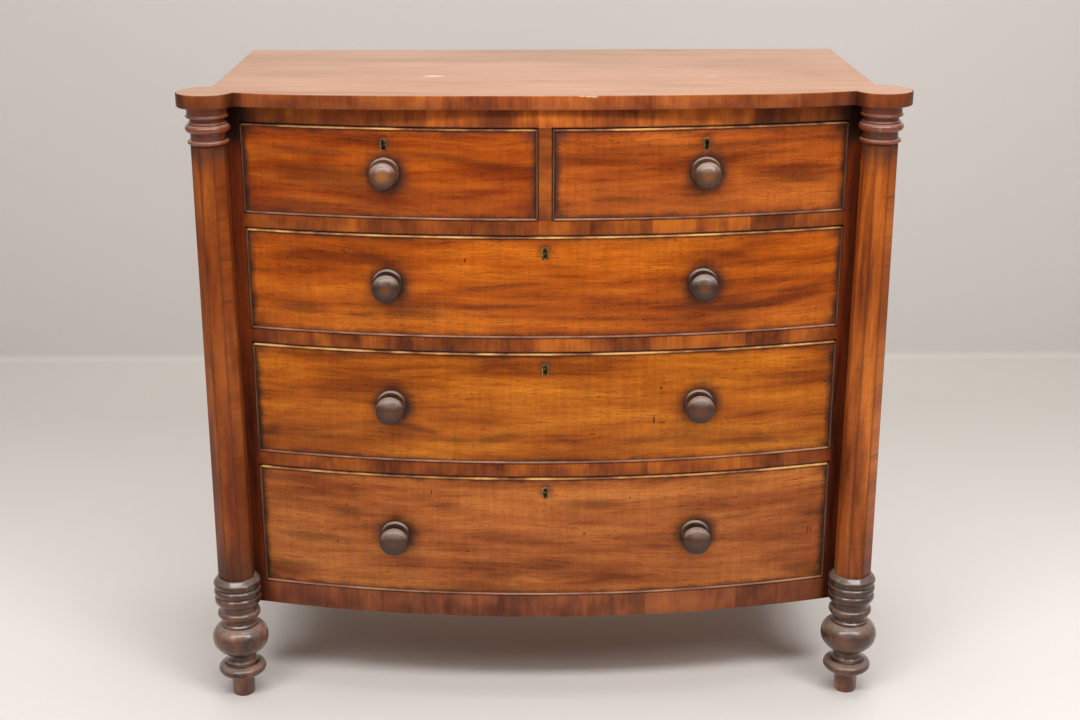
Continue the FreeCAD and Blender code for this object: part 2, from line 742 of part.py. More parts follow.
def keyhole_outline(grow):
    """A round over a straight skirt, as (x, z) corners round the key's hole."""
    half = f"(Sizes.escutcheon_skirt + {grow})"
    radius = f"(Sizes.escutcheon_round + {grow})"
    tail = f"-(Sizes.escutcheon_tail + {grow})"
    shoulder = f"-sqrt({radius} ^ 2 - {half} ^ 2)"
    return [
        (f"-{half}", tail, None),
        (half, tail, None),
        (half, shoulder, ("out", radius)),
        ("0", radius, ("out", radius)),
        (f"-{half}", shoulder, None),
    ]


def knob_profile(row):
    """Half outline of a knob, outwards along -Y, with timber to scribe away behind its flange."""
    head = size("knob_head_radius", f"* Layout.knob_scale_{row}")
    return [
        ("0", size("knob_scribe"), None),
        ("0", "-Sizes.knob_length", ("out", f"Layout.dome_radius_{row}")),
        (head, "-Sizes.knob_rim_end", ("out", "Sizes.knob_rim_bulge")),
        (f"{head} - Sizes.knob_head_taper", "-Sizes.knob_head_back", None),
        (size("knob_neck_radius"), "-Sizes.knob_neck_end", None),
        (size("knob_neck_radius"), "-Sizes.knob_flange_length", None),
        (size("knob_flange_radius"), "-Sizes.knob_flange_length", ("out", "Sizes.knob_flange_bulge")),
        (size("knob_flange_radius"), "0", None),
        (size("knob_flange_radius"), size("knob_scribe"), None),
    ]


def make_bead(label, x0, x1, z0, z1):
    """Cock bead: four strips with rounded noses, let in round the edge of the drawer's front."""
    half = "(Sizes.bead_width / 2)"
    reach = f"(Sizes.bead_proud - {half})"
    strips = []
    for low, high in ((z0, f"{z0} + Sizes.bead_width"), (f"{z1} - Sizes.bead_width", z1)):
        nose = new("Part::Torus", "nose")
        nose.setExpression("Radius1", f"Layout.bow_radius + {reach}")
        nose.setExpression("Radius2", half)
        nose.setExpression("Placement.Base.y", "Layout.bow_centre")
        nose.setExpression("Placement.Base.z", f"{low} + {half}")
        span = slab(x0, x1, "Layout.top_crown", "Layout.post_back", low, high)
        strips.append(fuse(shell(f"-{reach}", "Sizes.bead_depth", x0, x1, low, high), common(span, nose)))
    low = f"({z0} + Sizes.bead_width)"
    high = f"({z1} - Sizes.bead_width)"
    for left in (x0, f"({x1} - Sizes.bead_width)"):
        right = f"({left} + Sizes.bead_width)"
        middle = f"({left} + {half})"
        nose = upright(half, middle, bow_y(middle, f"-{reach}"), low, high)
        strips.append(fuse(shell(f"-{reach}", "Sizes.bead_depth", left, right, low, high), nose))
    subpart(label, *strips)


def lock_box(z0, z1, half, y0, y1):
    """A box about the keyhole's upright line, in the lock's own frame."""
    return slab(f"-{half}", half, y0, y1, z0, z1)


def make_lock(name, x, top, front):
    """Lock let into the back of a drawer's front. Returns the front with the lock's mortise cut."""
    inside = "Sizes.front_thickness"
    case_front = "(Sizes.front_thickness - Sizes.lock_depth)"
    middle = "(Sizes.bead_depth + (Sizes.front_thickness - Sizes.bead_depth) / 2)"
    case = lock_box("-Sizes.lock_height", "0", "(Sizes.lock_width / 2)", case_front, inside)
    plate = lock_box("-Sizes.selvedge_thickness", "0", "(Sizes.selvedge_width / 2)",
                     "(Sizes.bead_depth + Sizes.selvedge_set)", inside)
    bolt_half = "(Sizes.bolt_thickness / 2)"
    chamber_half = "(Sizes.bolt_thickness / 2 + Sizes.runner_gap)"
    chamber = lock_box("-Sizes.bolt_length - Sizes.bolt_heel", "Sizes.cut_past",
                       "(Sizes.bolt_width / 2 + Sizes.runner_gap)",
                       f"{middle} - {chamber_half}", f"{middle} + {chamber_half}")
    key_pin = new("Part::Cylinder", "key_pin")
    key_pin.setExpression("Radius", "Sizes.key_pin_radius")
    key_pin.setExpression("Height", "Sizes.lock_depth / 2")
    key_pin.Placement.Rotation = FreeCAD.Rotation(FreeCAD.Vector(1, 0, 0), 90)
    key_pin.setExpression("Placement.Base.y", f"{case_front} + Sizes.key_pin_radius")
    key_pin.setExpression("Placement.Base.z", "-Sizes.keyhole_drop - Sizes.bolt_width / 4")
    body = cut(fuse(case, plate), chamber)
    subpart(f"{name}_lock", face_on_bow(fuse(body, key_pin), x, top))
    bolt = lock_box("-Sizes.bolt_length", "-Sizes.runner_gap", "(Sizes.bolt_width / 2)",
                    f"{middle} - {bolt_half}", f"{middle} + {bolt_half}")
    subpart(f"{name}_lock_bolt", face_on_bow(group(bolt), x, top))
    mortise = fuse(
        lock_box("-Sizes.lock_height - Sizes.fit", "Sizes.cut_past", "(Sizes.lock_width / 2 + Sizes.fit)",
                 f"{case_front} - Sizes.fit", f"{inside} + Sizes.cut_past"),
        lock_box("-Sizes.selvedge_thickness - Sizes.fit", "Sizes.cut_past",
                 "(Sizes.selvedge_width / 2 + Sizes.fit)",
                 "Sizes.bead_depth", f"{inside} + Sizes.cut_past"))
    return cut(front, face_on_bow(mortise, x, top))


def make_escutcheon(name, x, z, front):
    """Brass keyhole liner, flush with the face. Returns the front with the key's way cut."""
    liner = padded("escutcheon", "XZ_Plane", keyhole_outline("0"), "Sizes.escutcheon_depth", reverse=True)
    hole = padded("keyhole", "XZ_Plane", keyhole_outline("-Sizes.escutcheon_wall"),
                  "Sizes.escutcheon_depth + Sizes.cut_past", reverse=True)
    subpart(f"{name}_escutcheon", face_on_bow(cut(liner, hole), x, z))
    way = padded("key_way", "XZ_Plane", keyhole_outline("Sizes.fit"), "Sizes.front_thickness", reverse=True)
    start = slab("-Sizes.escutcheon_skirt", "Sizes.escutcheon_skirt", "-Sizes.cut_past", "0",
                 "-Sizes.escutcheon_tail", "0")
    return cut(front, face_on_bow(fuse(way, start), x, z))


def make_knobs(label, row, places, bottom, top, front):
    """Knobs that point straight forward, on spigots glued through the front, their flanges
    scribed to the bow. Returns the front with the spigots' holes bored."""
    z = f"(({bottom} + {top}) / 2 + Sizes.knob_rise_{row})"
    knobs = []
    for x in places:
        seat = bow_y(x)
        turning = turned("knob", "XY_Plane", knob_profile(row))
        turning.setExpression("Placement.Base.x", x)
        turning.setExpression("Placement.Base.y", seat)
        turning.setExpression("Placement.Base.z", z)
        spigot = level_rod("Sizes.knob_spigot_radius", x, f"{seat} - Sizes.knob_flange_length / 2",
                           f"{seat} + Sizes.front_thickness - Sizes.knob_spigot_set", z)
        knobs.append(fuse(cut(turning, bowed("0", bottom, top)), spigot))
        hole = level_rod("Sizes.knob_spigot_radius + Sizes.fit", x, f"{seat} - Sizes.knob_bore_past",
                         f"{seat} + Sizes.front_thickness + Sizes.knob_bore_past", z)
        front = cut(front, hole)
    subpart(label, *knobs)
    return front


def make_drawer(name, row, x0, x1, knob_places, keyhole_x):
    """One drawer between the planes x0 and x1 of its row's opening."""
    left = f"({x0} + Sizes.drawer_gap)"
    right = f"({x1} - Sizes.drawer_gap)"
    bottom = f"(Layout.floor_{row} + Sizes.drawer_gap)"
    top = f"(Layout.ceiling_{row} - Sizes.head_gap)"
    bead = "Sizes.bead_width"
    side_foot = f"(Layout.floor_{row} + Sizes.runner_gap)"
    side_top = f"({top} - Sizes.side_drop)"
    ends = ((left, f"({left} + Sizes.side_board)"), (f"({right} - Sizes.side_board)", right))

    # front: a full-size layer behind the bead and a smaller one inside it
    layer = shell("Sizes.bead_depth", "Sizes.front_thickness", left, right, bottom, top)
    face = shell("0", "Sizes.bead_depth + Sizes.cut_past", f"{left} + {bead}", f"{right} - {bead}",
                 f"{bottom} + {bead}", f"{top} - {bead}")
    front = fuse(layer, face)
    for near, far in ends:
        socket = common(slab(near, far, "Layout.top_crown", "Layout.case_back",
                             f"{side_foot} - Sizes.cut_past", side_top),
                        bowed("Sizes.lap_depth", f"{side_foot} - Sizes.cut_past", side_top))
        front = cut(front, socket)

    # sides with a groove for the bottom, back above the bottom
    board_foot = f"({side_foot} + Sizes.bottom_rise)"
    board_top = f"({board_foot} + Sizes.bottom_board)"
    inner_left = f"({left} + Sizes.side_board)"
    inner_right = f"({right} - Sizes.side_board)"
    groove_left = f"({inner_left} - Sizes.groove_depth)"
    groove_right = f"({inner_right} + Sizes.groove_depth)"
    sides = []
    for near, far in ends:
        plank = common(slab(near, far, "Layout.top_crown", "Layout.drawer_rear", side_foot, side_top),
                       bowed("Sizes.lap_depth", side_foot, side_top))
        groove = slab(groove_left, groove_right, "Layout.top_crown", "Layout.drawer_rear + Sizes.cut_past",
                      board_foot, f"{board_top} + Sizes.fit")
        sides.append(cut(plank, groove))
    subpart(f"{name}_sides", *sides)
    subpart(f"{name}_back", slab(inner_left, inner_right, "Layout.drawer_rear - Sizes.back_board",
                                 "Layout.drawer_rear", board_top, f"{side_top} - Sizes.back_drop"))
    board = slab(f"{groove_left} + Sizes.fit", f"{groove_right} - Sizes.fit", "Layout.top_crown",
                 "Layout.drawer_rear", board_foot, board_top)
    board = common(board, bowed("Sizes.front_thickness", board_foot, board_top))
    subpart(f"{name}_bottom", board)

    make_bead(f"{name}_cock_bead", left, right, bottom, top)
    front = make_lock(name, keyhole_x, top, front)
    front = make_escutcheon(name, keyhole_x, f"{top} - Sizes.keyhole_drop", front)
    label = f"{name}_knobs" if len(knob_places) > 1 else f"{name}_knob"
    front = make_knobs(label, row, knob_places, bottom, top, front)
    subpart(f"{name}_front", front)


def make_drawers():
    half = "Layout.opening_half"
    muntin = "Sizes.muntin_width / 2"
    pair = ("-Layout.knob_x", "Layout.knob_x")
    make_drawer("left_short", 1, f"-{half}", f"-{muntin}", pair[:1], pair[0])
    make_drawer("right_short", 1, muntin, half, pair[1:], pair[1])
    make_drawer("upper_long", 2, f"-{half}", half, pair, "0")
    make_drawer("middle_long", 3, f"-{half}", half, pair, "0")
    make_drawer("lower_long", 4, f"-{half}", half, pair, "0")


# ---------------------------------------------------------------------------------------------
# Build, check and write
# ---------------------------------------------------------------------------------------------

make_top()
make_case()
make_rails()
make_hidden_frame()
make_columns()
make_capitals()
make_column_bases()
make_feet()
make_drawers()
doc.recompute()

failed = [item.Label for item in doc.Objects if "Invalid" in item.State or "Error" in item.State]
if failed:
    raise SystemExit(f"failed objects: {failed}")
for node in nodes:
    if node.Shape.isNull() or not node.Shape.isValid() or not node.Shape.Solids:
        raise SystemExit(f"bad shape: {node.Label}")

os.makedirs("parts", exist_ok=True)
for node in nodes:
    node.Shape.exportStep(f"parts/{node.Label}.step")
    print(f"{node.Label:28s} solids {len(node.Shape.Solids):2d}  volume {node.Shape.Volume / 1000:9.1f} cm3")
print(f"{len(nodes)} nodes, overall depth {layout.overall_depth:.2f}, height {layout.top_face:.2f}")
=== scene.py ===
# %% [markdown]
# # A bow front chest of drawers
#
# This lesson dresses a mahogany chest of about 1840: two short drawers over three long ones, a
# swelling front, octagonal columns at the corners and turned feet. The joinery already exists as a
# packed model. Each cell takes one piece or one finish, says what it is on the real chest, and makes it.
#
# The first cell loads the packed model. Its nodes are the pieces of wood and brass, each in its place,
# and its bodies are what moves together: the carcass, five drawers and the bolts of five locks.

# %% Load the frame
import math

import bmesh
import bpy
from mathutils import Matrix, Vector


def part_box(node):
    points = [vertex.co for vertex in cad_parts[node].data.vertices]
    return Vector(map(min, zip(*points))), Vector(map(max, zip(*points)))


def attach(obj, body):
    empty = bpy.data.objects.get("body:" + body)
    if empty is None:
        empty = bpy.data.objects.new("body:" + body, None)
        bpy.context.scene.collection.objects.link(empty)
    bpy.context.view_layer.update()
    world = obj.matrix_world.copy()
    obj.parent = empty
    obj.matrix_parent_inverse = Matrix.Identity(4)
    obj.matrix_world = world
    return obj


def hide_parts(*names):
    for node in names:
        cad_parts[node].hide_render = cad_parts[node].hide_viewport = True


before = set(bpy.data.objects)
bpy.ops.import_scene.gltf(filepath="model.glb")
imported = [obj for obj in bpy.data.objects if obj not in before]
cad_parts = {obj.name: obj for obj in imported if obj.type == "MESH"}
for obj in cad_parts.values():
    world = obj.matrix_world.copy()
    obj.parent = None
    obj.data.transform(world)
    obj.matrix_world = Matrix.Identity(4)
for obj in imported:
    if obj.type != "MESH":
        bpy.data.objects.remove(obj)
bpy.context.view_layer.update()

# %% [markdown]
# ## The camera
#
# The chest is seen from a little above the height of its top, from almost straight in front. A long lens
# about three metres away keeps the columns nearly upright. The lens is worked out from its focal length
# in pixels, and the camera is turned in three steps: it looks at the horizon, tips down, and rolls a hair.

# %% Camera
IMAGE_WIDTH = 1080
SENSOR_WIDTH = 36            # millimetres
FOCAL_PIXELS = 1654.4
LENS_AXIS_DROP = 3.96        # pixels from the middle of the image down to the lens's axis
CAMERA_PLACE = Vector((-0.0303, -2.8071, 1.4894))
CAMERA_PITCH = math.radians(18.575)
CAMERA_YAW = math.radians(0.484)
CAMERA_ROLL = math.radians(-0.073)

scene = bpy.context.scene


def add_object(name, data):
    """An object in the scene that shows a mesh, a light or a camera."""
    made = bpy.data.objects.new(name, data)
    scene.collection.objects.link(made)
    return made


camera_data = bpy.data.cameras.new("camera")
camera_data.sensor_width = SENSOR_WIDTH
camera_data.lens = SENSOR_WIDTH * FOCAL_PIXELS / IMAGE_WIDTH
camera_data.shift_y = LENS_AXIS_DROP / IMAGE_WIDTH
camera = add_object("camera", camera_data)
tip = Matrix.Rotation(math.pi / 2 - CAMERA_PITCH, 4, "X")
camera.matrix_world = (
    Matrix.Translation(CAMERA_PLACE) @ Matrix.Rotation(-CAMERA_YAW, 4, "Z") @ tip
    @ Matrix.Rotation(CAMERA_ROLL, 4, "Z")
)
scene.camera = camera
scene.view_settings.view_transform = "Standard"
print(f"lens {camera_data.lens:.1f} mm, {CAMERA_PLACE.z:.2f} m above the floor")

# %% [markdown]
# ## The bow
#
# Everything on the front follows one curve: an arc of a circle seen from above, which swells forward
# between the corner posts. Half the opening and the rise of the arc give its radius, and the radius gives
# the surface's place at any distance from the middle. The boards behind it follow the same circle, made
# smaller by their inset.

# %% The bow's circle
BOW_RISE = 0.0653
opening_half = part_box("bottom_rail")[1].x
bow_radius = (opening_half ** 2 + BOW_RISE ** 2) / (2 * BOW_RISE)
bow_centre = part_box("bottom_rail")[0].y + bow_radius


def bow_y(x, inset=0.0):
    """Where the bow's surface, moved back by inset, lies at the distance x from the middle."""
    return bow_centre - math.sqrt((bow_radius - inset) ** 2 - x ** 2)


print(f"bow radius {bow_radius:.4f} m about y {bow_centre:.4f}")

# %% [markdown]
# ## Where the columns and drawers stand
#
# A column reaches as far to the side of its axis as it does to the front of it, so the columns' box and the
# axis's given distance from the middle give how far back the axis stands. Each drawer's rectangle is the box
# of its front. The table of drawers lists where each one's knobs are.

# %% Places taken from the frame
COLUMN_X = 0.535
KEYHOLE_DROP = 0.0225
columns_low, columns_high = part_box("columns")
column_y = columns_low.y + (columns_high.x - COLUMN_X)
knob_low, knob_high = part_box("right_short_knob")
knob_x = (knob_low.x + knob_high.x) / 2

DRAWERS = {
    "left_short": (-knob_x,),
    "right_short": (knob_x,),
    "upper_long": (-knob_x, knob_x),
    "middle_long": (-knob_x, knob_x),
    "lower_long": (-knob_x, knob_x),
}


def knob_node(name):
    """The node of a drawer's knobs, or of its only knob."""
    return f"{name}_knobs" if len(DRAWERS[name]) > 1 else f"{name}_knob"


def knob_height(name):
    """How high the middle of a drawer's knobs is."""
    low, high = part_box(knob_node(name))
    return (low.z + high.z) / 2


def keyhole_x(name):
    """A short drawer's lock is over its knob, a long drawer's in the middle."""
    return 0.0 if name.endswith("long") else DRAWERS[name][0]


for name in DRAWERS:
    low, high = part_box(f"{name}_front")
    print(f"{name:12s} x {low.x:.3f} to {high.x:.3f}, z {low.z:.3f} to {high.z:.3f}")

# %% [markdown]
# ## A small language for nodes
#
# Shaders and Geometry Nodes are both trees of nodes. One function adds a node of any kind: its settings
# are set first, because some of them change its sockets, and then its sockets are given values or links.
# A `Value` wraps a number that varies over a surface, and Python's operators on it add Math nodes, so
# that a mask reads like the formula that it is. Colours are written as they look on a screen, and turned
# into the linear numbers that the nodes expect.

# %% Nodes and values


def add_node(tree, kind, settings, sockets):
    """A node with its settings set, then its sockets: each a number, a colour, a Value or a link."""
    made = tree.nodes.new(kind)
    for name, value in settings.items():
        if name == "stops":
            ramp = made.color_ramp
            while len(ramp.elements) < len(value):
                ramp.elements.new(1.0)
            for element, (place, colour) in zip(ramp.elements, value):
                element.position = place
                element.color = colour
        else:
            setattr(made, name, value)
    for name, value in sockets.items():
        value = getattr(value, "socket", value)
        if isinstance(value, bpy.types.NodeSocket):
            tree.links.new(value, made.inputs[name])
        else:
            made.inputs[name].default_value = value
    return made


class Value:
    """A number that varies over a surface. Operators on it add Math nodes to its tree."""

    def __init__(self, tree, socket):
        self.tree = tree
        self.socket = socket

    def math(self, operation, *terms):
        made = add_node(self.tree, "ShaderNodeMath", {"operation": operation}, dict(enumerate(terms)))
        return Value(self.tree, made.outputs[0])

    def __add__(self, other):
        return self.math("ADD", self, other)

    def __sub__(self, other):
        return self.math("SUBTRACT", self, other)

    def __mul__(self, other):
        return self.math("MULTIPLY", self, other)

    def __truediv__(self, other):
        return self.math("DIVIDE", self, other)

    def __rsub__(self, other):
        return self.math("SUBTRACT", other, self)

    __radd__ = __add__
    __rmul__ = __mul__

    def least(self, other):
        return self.math("MINIMUM", self, other)

    def most(self, other):
        return self.math("MAXIMUM", self, other)

    def size(self):
        return self.math("ABSOLUTE", self)

    def fraction(self):
        return self.math("FRACT", self)

    def rise(self, start, end):
        """0 below start, 1 above end, and smooth between them."""
        made = add_node(
            self.tree, "ShaderNodeMapRange", {"interpolation_type": "SMOOTHSTEP"},
            {"Value": self, "From Min": start, "From Max": end},
        )
        return Value(self.tree, made.outputs["Result"])


def paint(red, green, blue):
    """A colour written as screen values from 0 to 255, turned into the linear numbers that nodes use."""
    linear = []
    for level in (red, green, blue):
        share = level / 255
        linear.append(share / 12.92 if share <= 0.04045 else ((share + 0.055) / 1.055) ** 2.4)
    return (*linear, 1.0)


def paints(*colours):
    """Several colours at once, each written as its three levels."""
    return tuple(paint(*levels) for levels in colours)


print("a middle grey of 128 in linear numbers:", round(paint(128, 128, 128)[0], 3))

# %% [markdown]
# ## Patterns
#
# Every material starts with one Principled shader and the Object coordinates, which stay with the wood when
# a drawer moves. Patterns are drawn in those coordinates. Noise is drawn in stretched ones, because wood is
# mostly noise that is long one way and fine the other. Each pattern shifts its coordinates by the next
# number in a row, so that no two are alike and all stay the same from run to run.

# %% Patterns
SPECULAR = 0.12              # old polish and bare wood mirror little


class Patterns:
    """A material with its Principled shader, its coordinates and the patterns that wood needs."""

    def __init__(self, name, seed, **constants):
        constants = {"Specular_IOR_Level": SPECULAR, **constants}
        self.material = bpy.data.materials.new(name)
        self.material.use_nodes = True
        self.tree = self.material.node_tree
        self.shader = self.tree.nodes["Principled BSDF"]
        self.seed = seed
        for socket, value in constants.items():
            self.shader.inputs[socket.replace("_", " ")].default_value = value
        self.place = self.node("ShaderNodeTexCoord").outputs["Object"]
        parts = self.node("ShaderNodeSeparateXYZ", {}, {"Vector": self.place}).outputs
        self.x, self.y, self.z = (Value(self.tree, part) for part in parts)

    def node(self, kind, settings=None, sockets=None):
        return add_node(self.tree, kind, settings or {}, sockets or {})

    def vector(self, x, y, z):
        return self.node("ShaderNodeCombineXYZ", {}, {"X": x, "Y": y, "Z": z}).outputs[0]

    def attribute(self, name):
        """A number that the piece's own points carry."""
        made = self.node("ShaderNodeAttribute", {"attribute_name": name})
        return Value(self.tree, made.outputs["Fac"])

    def noise(self, place, stretch, detail=2.0, roughness=0.5):
        """Noise with as many features a metre along each axis as stretch says."""
        self.seed += 1
        shift = (3.1 * self.seed, 5.3 * self.seed, 7.7 * self.seed)
        mapped = self.node("ShaderNodeMapping", {}, {"Vector": place, "Location": shift, "Scale": stretch})
        made = self.node(
            "ShaderNodeTexNoise", {},
            {"Vector": mapped.outputs[0], "Scale": 1.0, "Detail": detail, "Roughness": roughness},
        )
        return Value(self.tree, made.outputs["Fac"])

    def spots(self, place, spacing, size, share):
        """Small round marks, one in some of the cells of a Voronoi pattern."""
        self.seed += 1
        shift = (1.7 * self.seed, 2.9 * self.seed, 0.0)
        mapped = self.node("ShaderNodeMapping", {}, {"Vector": place, "Location": shift})
        cells = self.node(
            "ShaderNodeTexVoronoi", {}, {"Vector": mapped.outputs[0], "Scale": 1 / spacing},
        ).outputs
        chance = self.node("ShaderNodeSeparateColor", {}, {"Color": cells["Color"]}).outputs
        picked = Value(self.tree, chance["Red"]).rise(1 - share, 1.02 - share)
        reach = Value(self.tree, chance["Green"]) * (size / spacing)
        return picked * (reach - Value(self.tree, cells["Distance"])).rise(0.0, 0.3 * size / spacing)


# %% [markdown]
# ## A finish
#
# A `Finish` adds layers of colour to the patterns, mixed one over another by masks, as a polisher builds up
# a surface: the wood first, then stain, smoke and grime. A last call feeds the colour and the gloss to the
# shader and gives the material.

# %% The finish class
GLOSS_SWING = 0.12           # how much the gloss varies with the relief of the grain


class Finish(Patterns):
    """A material being made, with short ways to lay one colour over another."""

    def over(self, colour, layer, mask):
        """One colour laid over another where the mask is 1."""
        made = self.node("ShaderNodeMix", {"data_type": "RGBA"}, {"Factor": mask, 6: colour, 7: layer})
        return made.outputs[2]

    def shade(self, colour, amount):
        """A colour made darker or lighter by a factor that varies round 1."""
        made = self.node(
            "ShaderNodeVectorMath", {"operation": "SCALE"}, {"Vector": colour, "Scale": amount},
        )
        return made.outputs[0]

    def ramp(self, value, *stops):
        """A colour looked up by a value between stops, each a place and a colour."""
        return self.node("ShaderNodeValToRGB", {"stops": stops}, {"Fac": value}).outputs["Color"]

    def bump(self, height, distance):
        """Relief from a height between 0 and 1, as deep as distance, in metres."""
        made = self.node("ShaderNodeBump", {}, {"Height": height, "Distance": distance})
        self.feed("Normal", made.outputs["Normal"])

    def feed(self, socket, value):
        """Let a value that varies over the surface drive one of the shader's sockets."""
        self.tree.links.new(getattr(value, "socket", value), self.shader.inputs[socket])

    def done(self, colour, roughness=None):
        """The material, once its colour and its roughness are fed to the shader."""
        self.feed("Base Color", colour)
        if roughness is not None:
            self.feed("Roughness", roughness)
        return self.material

    def polished(self, colour, relief, roughness, swing=GLOSS_SWING):
        """The finish done, a little duller or glossier with the relief of the grain."""
        return self.done(colour, roughness + (relief - 0.5) * swing)


print("ways to make a finish:", ", ".join(way for way in vars(Finish) if not way.startswith("_")))

# %% [markdown]
# ## Mahogany along the grain
#
# The drawer fronts, the top, the columns and the side panels show mahogany cut along the grain. Slow noise
# makes the broad bands of tone, faster noise the figure, and long fine noise the lines, the pores and the
# short dark flecks. Ribbons of light cross the grain, and smoky streaks lie over it. The grain wanders,
# because slow noise pushes the across coordinate about before anything else reads it.

# %% Long grain
SMOKE = paint(84, 38, 14)
GRAIN_LINE = paint(98, 40, 10)
WANDER = 0.06


def long_grain(finish, along, across, light, middle, dark, streaks=1.0):
    """Colour and relief of mahogany whose grain runs along one coordinate."""
    flat = finish.vector(along, across, 0.0)
    drift = finish.noise(flat, (2.2, 5.0, 1.0), 2.0)
    place = finish.vector(along, across + (drift - 0.5) * WANDER, 0.0)
    broad = finish.noise(place, (2.0, 9.0, 1.0), 3.0, 0.55)
    figure = finish.noise(place, (5.0, 42.0, 1.0), 4.0, 0.6)
    line = finish.noise(place, (12.0, 260.0, 1.0), 3.0, 0.6)
    fleck = finish.noise(place, (90.0, 420.0, 1.0), 2.0, 0.6)
    ribbon = finish.noise(flat, (150.0, 10.0, 1.0), 2.0)
    smoke = finish.noise(place, (3.4, 17.0, 1.0), 4.0, 0.55)
    colour = finish.ramp(broad * 0.5 + figure * 0.5, (0.39, dark), (0.49, middle), (0.60, light))
    colour = finish.over(colour, SMOKE, smoke.rise(0.54, 0.74) * (0.50 * streaks))
    lines = line.rise(0.54, 0.66) * figure.rise(0.38, 0.60)
    colour = finish.over(colour, GRAIN_LINE, lines * (0.55 * streaks))
    flecks = fleck.rise(0.60, 0.68)
    pore = finish.noise(place, (260.0, 700.0, 1.0), 2.0, 0.6)
    tone = (line - 0.5) * 0.95 + (ribbon - 0.5) * 0.38 + (pore - 0.5) * 0.55 - flecks * 0.36
    return finish.shade(colour, 1.0 + tone * streaks), line * 0.6 + (1.0 - flecks) * 0.4


# %% [markdown]
# ## Cross-banding
#
# The rails, the edge of the top and the muntin are faced with short leaves of veneer laid side by side,
# with the grain running across the band. Each leaf comes from another part of the log, so the tone jumps
# at every seam. A one-dimensional Voronoi pattern cuts the band into leaves of uneven width.

# %% Cross grain
LEAF = 0.085
SEAM = 0.014                 # as a share of a leaf


def cross_grain(finish, along, across, light, middle, dark):
    """Colour and relief of leaves of veneer laid side by side, with their grain across the band."""
    turns = along / LEAF
    cells = finish.node("ShaderNodeTexVoronoi", {"voronoi_dimensions": "1D"}, {"W": turns, "Scale": 1.0})
    seams = finish.node(
        "ShaderNodeTexVoronoi", {"voronoi_dimensions": "1D", "feature": "DISTANCE_TO_EDGE"},
        {"W": turns, "Scale": 1.0},
    )
    chance = finish.node("ShaderNodeSeparateColor", {}, {"Color": cells.outputs["Color"]}).outputs
    leaf = Value(finish.tree, chance["Red"])
    place = finish.vector(along, across, leaf * 0.3)
    stripe = finish.noise(place, (58.0, 9.0, 1.0), 4.0, 0.65)
    fibre = finish.noise(place, (420.0, 22.0, 1.0), 3.0, 0.6)
    cloud = finish.noise(place, (15.0, 14.0, 1.0), 3.0, 0.55)
    tone = leaf * 0.12 + stripe * 0.34 + cloud * 0.54
    colour = finish.ramp(tone, (0.36, dark), (0.49, middle), (0.62, light))
    seam = 1.0 - Value(finish.tree, seams.outputs["Distance"]).rise(0.0, SEAM)
    return finish.shade(colour, 1.0 + (fibre - 0.5) * 0.55 - seam * 0.25), fibre


# %% [markdown]
# ## What each front has been through
#
# Each drawer was veneered from another sheet of wood, and each has had its own knocks. These two tables say
# where the larger smoky patches and the dents of each front are, in metres, as a restorer's notes would.

# %% Patches and dents
# smoky patches of each front: x, z, half the length, half the height and the lean of the grain there
PATCHES = {
    "left_short": (
        (-0.390, 0.973, 0.085, 0.010, -0.03), (-0.150, 0.966, 0.110, 0.008, -0.12),
        (-0.400, 0.884, 0.080, 0.012, 0.0), (-0.350, 0.932, 0.110, 0.026, 0.0),
    ),
    "right_short": (
        (0.330, 0.985, 0.120, 0.007, 0.02), (0.120, 0.900, 0.070, 0.008, -0.05),
        (0.400, 0.930, 0.080, 0.020, 0.0),
    ),
    "upper_long": (
        (-0.285, 0.805, 0.030, 0.006, 0.0), (-0.215, 0.708, 0.055, 0.008, 0.0),
        (-0.075, 0.757, 0.090, 0.006, 0.10), (-0.303, 0.703, 0.030, 0.005, 0.0),
        (0.330, 0.715, 0.090, 0.007, 0.03), (-0.400, 0.712, 0.050, 0.014, 0.0),
        (-0.090, 0.722, 0.070, 0.006, 0.04),
    ),
    "middle_long": (
        (-0.215, 0.510, 0.050, 0.006, -0.22), (-0.148, 0.490, 0.055, 0.009, -0.10),
        (-0.075, 0.496, 0.060, 0.010, 0.14), (-0.461, 0.494, 0.020, 0.014, 0.0),
        (0.342, 0.479, 0.060, 0.008, 0.0), (-0.330, 0.634, 0.080, 0.007, 0.0),
        (-0.120, 0.640, 0.060, 0.005, 0.0),
    ),
    "lower_long": (
        (-0.335, 0.352, 0.040, 0.014, 0.0), (-0.170, 0.371, 0.028, 0.010, 0.0),
        (-0.448, 0.238, 0.060, 0.022, 0.0), (-0.400, 0.300, 0.070, 0.016, 0.0),
        (-0.078, 0.243, 0.050, 0.008, 0.05),
        (0.080, 0.375, 0.055, 0.012, 0.0), (0.330, 0.340, 0.045, 0.006, 0.05),
        (0.445, 0.230, 0.045, 0.014, 0.0),
    ),
}

# dents of each front: x, z, half the width and half the height
DENTS = {
    "left_short": ((-0.330, 0.925, 0.0012, 0.0012),),
    "right_short": ((0.400, 0.930, 0.0014, 0.0014),),
    "upper_long": ((-0.129, 0.800, 0.0014, 0.0040), (0.160, 0.700, 0.0013, 0.0013)),
    "middle_long": (
        (0.181, 0.524, 0.0016, 0.0070), (0.192, 0.580, 0.0018, 0.0024), (0.472, 0.573, 0.0030, 0.0016),
        (0.078, 0.502, 0.0060, 0.0010), (0.195, 0.519, 0.0060, 0.0010),
    ),
    "lower_long": (
        (-0.356, 0.295, 0.0022, 0.0016), (-0.132, 0.288, 0.0026, 0.0012), (-0.338, 0.365, 0.0022, 0.0014),
        (0.143, 0.385, 0.0018, 0.0018), (0.456, 0.303, 0.0009, 0.0070), (0.461, 0.302, 0.0009, 0.0055),
        (0.066, 0.321, 0.0018, 0.0018), (-0.192, 0.395, 0.0009, 0.0050),
    ),
}
